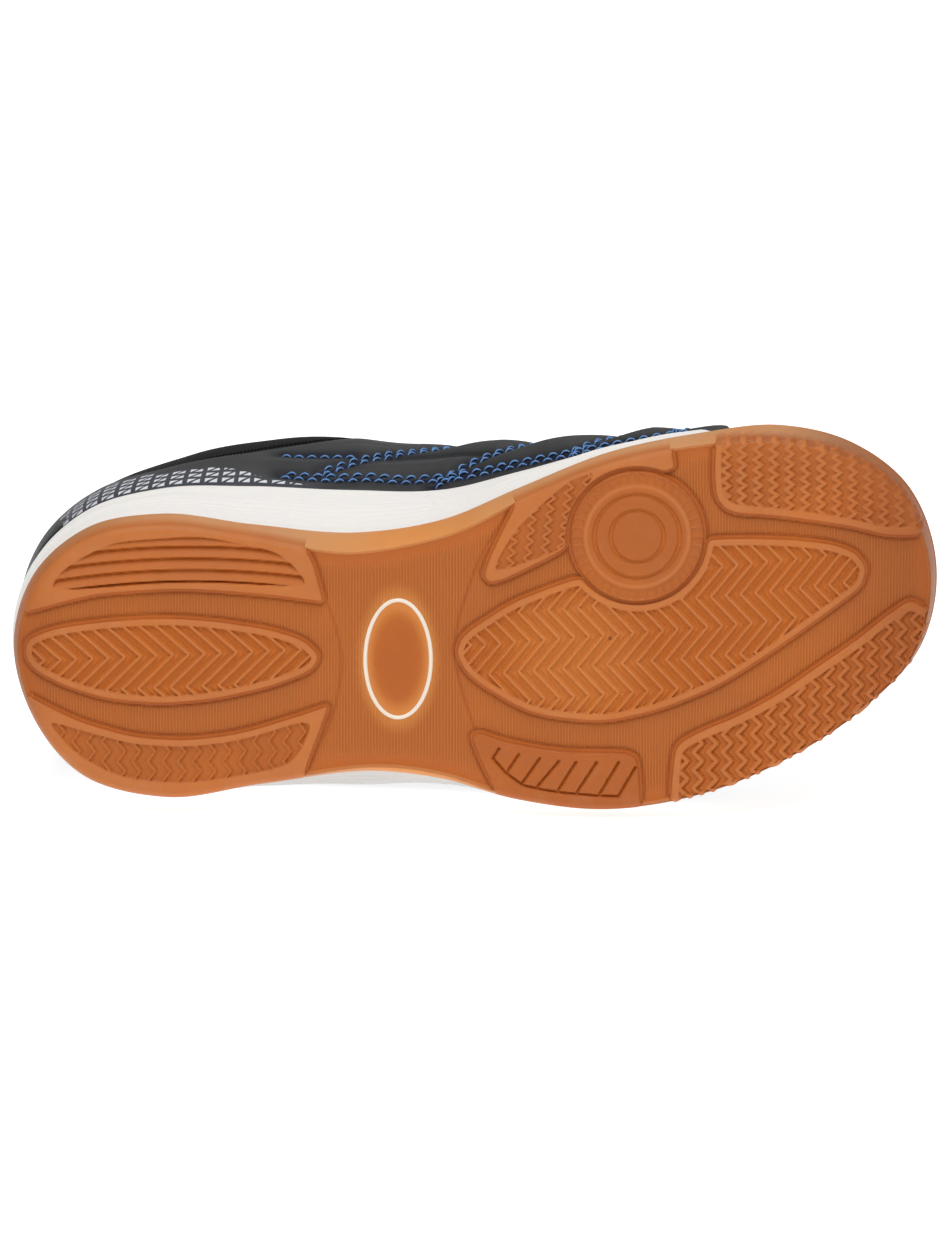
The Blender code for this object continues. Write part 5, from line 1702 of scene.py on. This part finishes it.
@dataclass
class Upper:
    """Quilted leather upper: puffed between its seams, printed at the heel, punched along the throat."""

    count: int = 780
    rows: int = 92
    inner_rows: int = 12
    puff: float = 1.75
    puff_width: float = 5.0
    crease: float = 0.55
    crease_width: float = 1.0
    lean_at: float = 90.0
    lean_half: float = 26.0
    lean_height: Span = (42.0, 48.0)
    collar_end: Span = (84.0, 96.0)
    toe_plain: Span = (160.0, 187.0)
    vamp_height: Span = (24.0, 34.0)
    tint_width: float = 1.25
    hole_dip: float = 0.9
    eyestay: float = 11.5
    eyestay_rise: float = 0.45
    hole_radius: float = 1.5
    eyelet_inset: float = 5.2
    eyelets: tuple[float, ...] = (146.0, 134.75, 123.5, 112.25, 101.0)

    PANEL_TOP = ((10.0, 37.0), (14.0, 39.0), (22.0, 41.0), (33.6, 39.5), (47.4, 36.8), (53.0, 34.4),
                 (58.4, 31.8), (64.0, 30.6), (73.5, 29.0), (76.0, 26.0))
    PANEL_BACK = 13.5
    VAMP_CREASES = (((158.0, -34.0), (165.0, -22.0), (168.0, -8.0), (167.0, 6.0), (161.0, 22.0)),
                    ((167.0, -36.0), (174.0, -22.0), (177.0, -8.0), (175.5, 5.0), (168.0, 20.0)),
                    ((150.0, -33.0), (156.0, -26.0), (160.0, -19.0)),
                    ((148.0, 27.0), (155.0, 20.0), (159.0, 14.0)))
    CREASE_DEPTHS = (0.75, 0.5, 0.6, 0.6)

    def __post_init__(self) -> None:
        """Lays the seams, the eyelets and the quilting on the face."""
        self.face = Face(self.count, self.rows)
        self.lines = [(seam, *self.face.on_side(seam.points, medial))
                      for seam in SEAMS for medial in (True, False)]
        seams = np.vstack([points for _, points, _ in self.lines])
        self.to_seam = self._away(seams)
        self.holes, self.hole_normals = self._holes()
        self.to_hole = self._away(self.holes)
        self.outer = self.face.points + self.face.normals * self._rise()[..., None]

    def _away(self, targets: Array) -> Array:
        """Distance of each point of the face from the nearest of the targets."""
        tree = tree_of(targets)
        return np.array([[tree.find(point)[2] for point in row] for row in self.face.points])

    def quilt(self, to_seam: Array) -> Array:
        """Height of the quilting at a distance from its seams."""
        swell = self.puff * (1.0 - np.exp(-(to_seam / self.puff_width) ** 2))
        return swell - self.crease * np.exp(-(to_seam / self.crease_width) ** 2)

    def _holes(self) -> tuple[Array, Array]:
        """Finds the middles of the punched eyelets beside the throat's edge.

        Returns:
            Their places, medial ones first, and the normals there.
        """
        face, rows = self.face, []
        for medial in (True, False):
            beside = (face.medial == medial) & (face.throat > 0.5)
            for x in self.eyelets:
                off = np.abs(face.points[..., 0] - x) + np.abs(face.down - self.eyelet_inset)
                off = np.where(beside[None, :], off, np.inf)
                found = np.unravel_index(np.argmin(off), off.shape)
                rows.append((face.points[found], face.normals[found]))
        return np.array([point for point, _ in rows]), np.array([normal for _, normal in rows])

    def _rise(self) -> Array:
        """Height of every point over the plain face: quilting, eyestay, creases and eyelets.

        Returns:
            Rows of heights.
        """
        face = self.face
        x, z = face.points[..., 0], face.points[..., 2]
        on_stay = face.throat * (1.0 - smoothstep(self.eyestay - 0.8, self.eyestay + 0.8, face.down))
        clear = smoothstep(0.0, 5.0, face.up) * (1.0 - face.throat * (1.0 - smoothstep(9.0, 17.0, face.down)))
        clear = clear * smoothstep(0.0, 8.0, face.down)
        line = along(Collar.line, 1.0)
        below = np.interp(x, line[:, 0], line[:, 1]) - z
        under_collar = 1.0 - smoothstep(*self.collar_end, face.rim.top[:, 0])
        clear = clear * (1.0 - under_collar * (1.0 - smoothstep(0.0, 7.0, below)))
        lean = bell(x - self.lean_at, self.lean_half) * smoothstep(*self.lean_height, z)
        clear = clear * (1.0 - 0.95 * lean)
        toe = 1.0 - smoothstep(*self.toe_plain, x)
        rise = self.quilt(self.to_seam) * clear * (0.25 + 0.75 * toe) + self.eyestay_rise * on_stay
        flat = face.points.reshape(-1, 3)[:, :2]
        high = smoothstep(*self.vamp_height, z)
        for line, depth in zip(self.VAMP_CREASES, self.CREASE_DEPTHS):
            apart = line_distance(flat, along(line, 2.0)).reshape(self.rows, -1)
            ridge = 0.35 * bell(apart - 4.2, 3.0) - np.exp(-(apart / 2.3) ** 2)
            rise = rise + depth * ridge * high * (1.0 - on_stay)
        return rise - self.hole_dip * bell(self.to_hole, self.hole_radius)

    def panel_share(self) -> Array:
        """How far inside the printed heel panel each point is, from 0 to 1, 0.5 on its edge.

        Returns:
            Rows of shares.
        """
        x, z = self.face.points[..., 0], self.face.points[..., 2]
        line = np.array(self.PANEL_TOP)
        below = np.interp(x, line[:, 0], line[:, 1]) - z
        inside_by = np.minimum(np.minimum(below, x - self.PANEL_BACK), line[-1, 0] - x)
        return np.clip(0.5 + inside_by / 5.0, 0.0, 1.0)

    def build(self, leather: Paint, lining: Paint) -> None:
        """Makes the hollow upper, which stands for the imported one.

        Args:
            leather: Its outside.
            lining: Its inside.
        """
        face, rim, shape = self.face, self.face.rim, Shape()
        around = np.where(face.medial, rim.place, rim.place[-1] - rim.place)
        panel = self.panel_share()
        sewn = np.vstack([points[3:-9] for seam, points, _ in self.lines if seam.rows])
        x = face.points[..., 0]
        seam = np.exp(-(self._away(sewn) / self.tint_width) ** 2) * smoothstep(58.0, 66.0, x)
        # Painted highlight on the puffs away from the seams; painted shade is left in the valleys along them.
        worn = smoothstep(0.4, 4.0, self.to_seam) * smoothstep(8.0, 17.0, x)
        # Painted shade: the shallow eyelet dimples are painted near-black like punched holes.
        hole = 1.0 - smoothstep(0.75 * self.hole_radius, self.hole_radius, self.to_hole)
        rows = [shape.add(rim.ring(rim.floor_reach - B.seat_gap, lambda x: footbed(x) + B.gap))]
        for row in range(self.rows):
            rows.append(shape.add(self.outer[row], around=around, height=face.up[row], panel=panel[row],
                                  seam=seam[row], worn=worn[row], hole=hole[row]))
        shape.grid(rows)
        walls = B.wall + rim.pad[None, :] * smoothstep(B.pad_start, B.pad_full, face.share)[:, None]
        inner = face.points - face.normals * walls[..., None]
        up = unit(face.points[-1] - face.points[-2])
        edge = [rows[-1]]
        for share in (0.18, 0.38, 0.62, 0.82):
            crown = math.sqrt(1.0 - (2.0 * share - 1.0) ** 2)
            edge.append(shape.add(self.outer[-1] * (1.0 - share) + inner[-1] * share + up * crown))
        for row in np.linspace(self.rows - 1, 0, self.inner_rows).astype(int):
            edge.append(shape.add(inner[row], across=face.up[row], along=rim.place))
        seat = rim.ring(rim.floor_reach - B.seat_gap - B.wall, lambda x: footbed(x) + B.gap)
        edge.append(shape.add(seat, along=rim.place))
        shape.grid(edge, finish=1)
        shape.band(edge[-1], rows[0], finish=1)
        shape.piece("upper_visual", [leather, lining], "black_leather", ["upper"])

    def stitches(self, thread: Paint) -> None:
        """Sews every seam with short leaning arcs of thick thread, joined as one piece.

        Args:
            thread: The thread.
        """
        shape = Shape()
        for seam, points, normals in self.lines:
            sideways = np.cross(normals, unit(np.gradient(points, axis=0)))
            lengths = running_length(points)
            for number, offset in enumerate(seam.rows):
                level = float(self.quilt(np.array(abs(offset)))) + 0.1
                first = 0.4 + 0.35 * seam.pitch * number
                for start in np.arange(first, lengths[-1] - seam.pitch, seam.pitch):
                    self._stitch(shape, seam, start, offset, level, lengths,
                                 np.hstack([points, normals, sideways]))
        shape.piece("quilting_thread", [thread], "lace_fabric")

    @staticmethod
    def _stitch(shape: Shape, seam: Seam, start: float, offset: float, level: float, lengths: Array,
                rows: Array) -> None:
        """One stitch: an arc of thread whose ends dip into the leather.

        Args:
            shape: Piece that it joins.
            seam: Seam that it belongs to.
            start: Length along the seam where it begins.
            offset: Distance beside the seam's middle.
            level: Height of the quilting under it.
            lengths: Running lengths of the seam's points.
            rows: Point, normal and sideways direction at each of them.
        """
        steps = len(seam.TAPER)
        places = start + np.linspace(0.0, seam.SHARE, steps) * seam.pitch
        path = read_rows(places, lengths, rows)
        turn = np.linspace(0.0, 1.0, steps)
        arch = np.sin(math.pi * turn)
        aside = offset + seam.BOW * (arch - 0.5) + seam.SLANT * (turn - 0.5)
        height = level - seam.SINK + seam.ARCH * arch ** 0.6
        middle = path[:, :3] + path[:, 3:6] * height[:, None] + path[:, 6:] * aside[:, None]
        radius = seam.thread * np.array(seam.TAPER)
        rings = []
        angles = np.arange(seam.SIDES) * math.tau / seam.SIDES
        for step in range(steps):
            spoke = np.outer(np.cos(angles), path[step, 6:]) + np.outer(np.sin(angles), path[step, 3:6])
            rings.append(shape.add(middle[step] + radius[step] * spoke))
        shape.tube(rings)


@dataclass
class Collar:
    """Padded textile roll round the ankle, from its lower seam over the edge and down inside."""

    line: Points2 = ((0.0, 60.0), (8.0, 59.0), (15.0, 56.5), (23.8, 53.5), (33.6, 51.4), (46.0, 51.2),
                     (58.4, 51.4), (67.6, 53.0), (77.4, 57.2), (84.0, 62.0), (92.0, 74.0))
    plump: float = 1.5
    clear: float = 0.35
    slim_at: float = 60.0
    slim_half: float = 16.0
    slim: float = 0.6
    taper: float = 26.0
    swell: Span = (0.04, 0.62)
    inner_plump: float = 0.8
    crown: float = 0.75
    outer_rows: int = 18
    edge_rows: int = 8
    inner_rows: int = 16
    inner_depth: float = 15.0
    end: float = 90.0

    def build(self, upper: Upper, cloth: Paint) -> None:
        """Makes the roll on the upper's own face, which stays under it.

        Args:
            upper: Upper that it lies on.
            cloth: Its cover.
        """
        face, shape = upper.face, Shape()
        rim = face.rim
        used = np.flatnonzero(rim.top[:, 0] < self.end)
        first = used[np.flatnonzero(np.diff(used) > 1)[0] + 1]
        order = np.concatenate([used[used >= first], used[used < first]])
        columns = []
        for number, station in enumerate(order):
            ends = min(number, len(order) - 1 - number) / self.taper
            columns.append(self._section(upper, station, float(smoothstep(-0.05, 1.0, ends)) ** 0.5))
        sections = np.array(columns)
        lengths = running_length(sections[:, self.outer_rows + 3])
        girth = running_length(sections[len(sections) // 2])
        rings = [shape.add(section, across=girth, along=place) for section, place in zip(sections, lengths)]
        shape.tube(rings[::-1])
        piece = shape.piece("collar_padding", [cloth], "black_fabric")

    def _section(self, upper: Upper, station: int, full: float) -> Array:
        """Closed section of the roll at one station, plumper where full is 1.

        Args:
            upper: Upper that it lies on.
            station: Number of the station.
            full: Share of the full plumpness.

        Returns:
            Points of the section.
        """
        face = upper.face
        points, normals = face.points[:, station], face.normals[:, station]
        line = along(self.line, 1.0)
        height = np.interp(points[:, 0], line[:, 0], line[:, 1])
        low = float(np.interp(0.0, points[:, 2] - height, face.share))
        share = np.linspace(min(low, 0.97), 1.0, self.outer_rows)
        swell = np.sin(np.linspace(*self.swell, self.outer_rows) * math.pi)
        swell = swell * (1.0 - self.slim * float(bell(points[-1, 0] - self.slim_at, self.slim_half)))
        outward = (self.clear + self.plump * full * swell) * full
        outer = read_rows(share, face.share, points)
        outer = outer + read_rows(share, face.share, normals) * outward[:, None]
        depth = np.clip(1.0 - self.inner_depth * full / max(face.up[-1, station], 1.0), 0.3, 0.98)
        back = np.linspace(1.0, depth, self.inner_rows)
        wall = B.wall + face.rim.pad[station] * smoothstep(B.pad_start, B.pad_full, back)
        sink = np.sin(np.linspace(*self.swell[::-1], self.inner_rows) * math.pi)
        inward = wall + (self.clear + self.inner_plump * self.plump * full * sink) * full
        inner = read_rows(back, face.share, points)
        inner = inner - read_rows(back, face.share, normals) * inward[:, None]
        up = unit(points[-1] - points[-4])
        turn = np.linspace(0.0, math.pi, self.edge_rows + 2)[1:-1]
        middle, half = (outer[-1] + inner[0]) / 2, (outer[-1] - inner[0]) / 2
        rise = 1.0 + np.linalg.norm(half) * self.crown * full
        crown = middle + np.outer(np.cos(turn), half) + np.outer(np.sin(turn), up * rise)
        return np.vstack([outer, crown, inner])


class TongueRow(NamedTuple):
    """A section of the tongue: its middle, half its width, its arch and its thickness."""

    x: float
    y: float
    z: float
    half_width: float
    arch: float
    thickness: float


@dataclass
class Tongue:
    """Padded cloth tongue under the throat, quilted across."""

    table: tuple[TongueRow, ...] = (
        TongueRow(78.0, 0.0, 101.0, 18.0, 0.014, 5.0), TongueRow(85.0, 0.0, 96.2, 17.0, 0.018, 5.5),
        TongueRow(92.0, -0.5, 91.2, 11.4, 0.022, 5.5), TongueRow(99.0, -0.5, 87.0, 12.4, 0.023, 5.0),
        TongueRow(118.0, -1.2, 75.6, 18.5, 0.0225, 4.5), TongueRow(138.0, -2.6, 63.0, 16.5, 0.025, 4.0),
        TongueRow(152.0, -3.6, 52.4, 13.0, 0.029, 3.5), TongueRow(160.0, -4.3, 46.2, 11.0, 0.025, 3.2),
        TongueRow(170.0, -5.0, 42.8, 10.0, 0.022, 3.0),
    )
    edge: float = 0.7
    step: float = 0.8
    across: int = 44
    end_length: float = 5.0
    first_channel: float = 9.0
    channel_pitch: float = 13.0
    channel: float = 0.7
    channel_half: float = 2.6
    plump: float = 0.5

    UP = (-0.53, 0.0, 0.85)

    def build(self, cloth: Paint) -> None:
        """Makes the piece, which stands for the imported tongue.

        Args:
            cloth: Its cover.
        """
        rows = along(self.table, self.step)
        lengths = running_length(rows[:, :3])
        shape, rings = Shape(), []
        for place, row in zip(lengths, rows):
            section, girth = self._section(TongueRow(*row), place, lengths[-1])
            rings.append(shape.add(section, across=girth, along=place))
        shape.tube(rings[::-1])
        piece = shape.piece("tongue_visual", [cloth], "black_fabric", ["tongue"])

    def _section(self, row: TongueRow, place: float, length: float) -> tuple[Array, Array]:
        """Closed section across the tongue, and the way round it at each point.

        Args:
            row: The section.
            place: Length along the tongue.
            length: Length of all of it.

        Returns:
            Points of the section, and the way round at each.
        """
        slope = np.array(self.UP)
        ends = float(smoothstep(0.0, self.end_length, min(place, length - place)))
        side = np.sin(np.linspace(-1.0, 1.0, self.across // 2) * math.pi / 2)
        half = row.half_width * (0.86 + 0.14 * ends ** 0.5)
        y = side * half
        round_off = np.sqrt(np.clip(1.0 - side ** 4, 0.0, 1.0))
        thick = self.edge + (row.thickness - self.edge) * round_off * (0.45 + 0.55 * ends ** 0.5)
        groove = bell(zigzag(place - self.first_channel, self.channel_pitch), self.channel_half)
        swell = (self.plump * (1.0 - groove) - self.channel * groove) * round_off * (1.0 - np.abs(side) ** 6)
        middle = np.array([row.x, row.y, row.z])
        base = middle + np.outer(y, [0.0, 1.0, 0.0]) - np.outer(row.arch * y ** 2, slope)
        top = base + np.outer(thick / 2 + swell * ends, slope)
        low = base - np.outer(thick / 2, slope)
        section = np.vstack([top, low[::-1]])
        return section, np.concatenate([y, y[::-1] + 2.0 * half])


@dataclass
class Lace:
    """Flat woven lace: a bar at the front pair of eyelets, then crossings up to the top pair."""

    throat: tuple[tuple[float, float, float], ...] = (
        (92.0, 0.0, 95.4), (101.0, -0.3, 90.2), (118.0, -1.2, 79.5), (138.0, -2.5, 67.2), (152.0, -3.5, 58.8))
    arch: float = 0.0135
    width: float = 5.0
    thickness: float = 1.4
    over: float = 1.5
    dive: float = 3.0
    edge_lift: float = 0.8
    steps: int = 60
    sides: int = 16
    under: float = 0.2
    cross_half: float = 11.0
    edge_at: float = 13.0
    edge_half: float = 5.0
    ease: float = 0.3
    dive_share: float = 0.06
    pinch_share: float = 0.07
    hole_clear: float = 0.5

    UP = (0.52, 0.0, 0.854)

    def build(self, upper: Upper, cloth: Paint) -> None:
        """Makes every run of the lace as one piece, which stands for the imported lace.

        Args:
            upper: Upper with the eyelets.
            cloth: Its weave.
        """
        shape = Shape()
        pairs = len(upper.eyelets)
        self._run(shape, upper, 0, pairs, self.under)
        for front in range(pairs - 1):
            self._run(shape, upper, front, pairs + front + 1, self.under)
            self._run(shape, upper, front + 1, pairs + front, self.over)
        shape.piece("lace_visual", [cloth], "lace_fabric", ["lace"])

    def _run(self, shape: Shape, upper: Upper, start: int, end: int, lift_middle: float) -> None:
        """One run across the throat, from a medial eyelet to a lateral one.

        Args:
            shape: Piece that it joins.
            upper: Upper that the eyelets are punched in.
            start: Number of the medial eyelet.
            end: Number of the lateral eyelet.
            lift_middle: Height of its middle over the run that it crosses.
        """
        share = np.linspace(0.0, 1.0, self.steps)
        first, last = upper.holes[start], upper.holes[end]
        flat = first[:2] + np.outer(share, (last - first)[:2])
        rows = np.array(self.throat)
        off = flat[:, 1] - np.interp(flat[:, 0], rows[:, 0], rows[:, 1])
        slope = np.array(self.UP)
        rise = (self.thickness / 2 - self.arch * off ** 2 + lift_middle * bell(off, self.cross_half)
                + self.edge_lift * bell(np.abs(off) - self.edge_at, self.edge_half))
        level = np.interp(flat[:, 0], rows[:, 0], rows[:, 2])
        middle = np.column_stack([flat, level]) + np.outer(rise, slope)
        for share_of, hole in ((share, start), (1.0 - share, end)):
            normal = upper.hole_normals[hole]
            wanted = upper.holes[hole] + normal * (self.thickness / 2 + self.hole_clear)
            eased = 1.0 - smoothstep(0.0, self.ease, share_of)
            middle = middle + np.outer(eased, wanted - middle[np.argmin(share_of)])
            sunk = 1.0 - smoothstep(0.0, self.dive_share, share_of)
            middle = middle - np.outer(sunk, normal * self.dive)
        ends = 1.0 - smoothstep(0.0, self.pinch_share, np.minimum(share, 1.0 - share))
        ahead = unit(np.gradient(middle, axis=0))
        sideways = unit(np.cross(ahead, slope))
        up = np.cross(sideways, ahead)
        lengths = running_length(middle)
        angles = np.arange(self.sides) * math.tau / self.sides
        wide = np.sign(np.cos(angles)) * np.abs(np.cos(angles)) ** 0.6 * self.width / 2
        tall = np.sign(np.sin(angles)) * np.abs(np.sin(angles)) ** 0.8 * self.thickness / 2
        pinch = 1.0 - 0.5 * ends
        rings = []
        for step in range(self.steps):
            ring = middle[step] + np.outer(wide * pinch[step], sideways[step]) + np.outer(tall, up[step])
            rings.append(shape.add(ring, across=wide, along=lengths[step]))
        shape.tube(rings[::-1])


class Softbox(NamedTuple):
    """A square area light: its offset from the shoe and its side in metres, and its watts."""

    name: str
    way: tuple[float, float, float]
    size: float
    power: float


@dataclass
class Studio:
    """Plain white floor, soft window light and a long lens square to the photograph's view of the sole."""

    aim: tuple[float, float, float] = (112.5, -6.99, 0.0)
    tilt_deg: float = 13.0
    distance: float = 2501.6
    lens: float = 300.0
    floor: float = 6.0
    world: float = 0.32
    floor_grey: float = 0.60
    floor_glow: float = 0.82
    sensor: float = 36.0
    lights: tuple[Softbox, ...] = (Softbox("key_light", (-0.1, -0.95, 2.2), 1.3, 43.0),
                                   Softbox("fill_light", (1.2, -0.9, 0.5), 1.2, 1.0),
                                   Softbox("back_light", (0.2, 1.1, 1.3), 1.0, 3.0))

    def build(self) -> None:
        """Makes the floor, the lights and the camera."""
        self._floor()
        scene = bpy.context.scene
        scene.view_settings.view_transform = "Standard"
        scene.world = scene.world or bpy.data.worlds.new("studio")
        scene.world.use_nodes = True
        background = scene.world.node_tree.nodes["Background"]
        background.inputs["Color"].default_value = (1.0, 1.0, 1.0, 1.0)
        background.inputs["Strength"].default_value = self.world
        target = Vector(PLACE.points([self.aim])[0])
        for box in self.lights:
            self._softbox(box, target)
        self._camera(target)

    def _floor(self) -> None:
        """A plain pale floor."""
        bpy.ops.object.select_all(action="DESELECT")
        bpy.ops.mesh.primitive_plane_add(size=self.floor, location=(0.0, 0.0, 0.0))
        floor = bpy.context.object
        floor.name = "floor"
        paint = Paint("floor_white", 0.9, 0.1)
        paint.set("Base Color", (self.floor_grey,) * 3)
        paint.set("Emission Color", (1.0, 1.0, 1.0))
        paint.set("Emission Strength", self.floor_glow)
        floor.data.materials.append(paint.material)

    @staticmethod
    def _softbox(box: Softbox, target: Vector) -> None:
        """Makes one light.

        Args:
            box: The light.
            target: Point that it faces.
        """
        data = bpy.data.lights.new(box.name, "AREA")
        data.size, data.energy = box.size, box.power
        light = bpy.data.objects.new(box.name, data)
        light.location = target + Vector(box.way)
        light.rotation_euler = (-Vector(box.way)).to_track_quat("-Z", "Y").to_euler()
        bpy.context.scene.collection.objects.link(light)

    def _camera(self, target: Vector) -> None:
        """Long-lens camera that looks at the sole a little from the medial side.

        Args:
            target: Point that it looks at.
        """
        tilt = math.radians(self.tilt_deg)
        ahead = PLACE.direction((0.0, math.sin(tilt), math.cos(tilt)))
        up = PLACE.direction((0.0, -math.cos(tilt), math.sin(tilt)))
        right = PLACE.direction((1.0, 0.0, 0.0))
        data = bpy.data.cameras.new("camera")
        data.lens, data.sensor_width, data.sensor_fit = self.lens, self.sensor, "AUTO"
        data.dof.use_dof = False
        camera = bpy.data.objects.new("camera", data)
        turn = Matrix((right, up, -ahead)).transposed().to_4x4()
        camera.matrix_world = Matrix.Translation(target - ahead * self.distance * MM) @ turn
        bpy.context.scene.collection.objects.link(camera)
        bpy.context.scene.camera = camera


def main() -> None:
    """Builds every piece in the order that the shoe is put together, then the studio."""
    logging.basicConfig(level=logging.INFO, format="%(message)s")
    gum = Gum().paint()
    tread = Tread()
    Outsole().build(gum, [loop for loop, _ in tread.outlines.values()])
    tread.build(gum)
    WindowRing().build(Foam("white_rubber", (0.80, 0.71, 0.60), (0.66, 0.56, 0.44), 0.4).paint())
    Midsole().build(Foam().paint())
    Insole().build(Cloth("insole_fabric", (0.03, 0.03, 0.035), (0.09, 0.09, 0.10), 0.9).paint())
    cloth = Cloth("black_fabric", (0.005, 0.005, 0.006), (0.017, 0.016, 0.016), 0.8).paint()
    upper = Upper()
    upper.build(Leather().paint(), cloth)
    upper.stitches(Thread().paint())
    Collar().build(upper, cloth)
    Tongue().build(cloth)
    Lace().build(upper, Cloth("lace_fabric", (0.010, 0.010, 0.011), (0.050, 0.050, 0.055), 0.7).paint())
    Studio().build()


if __name__ == "__main__":
    main()
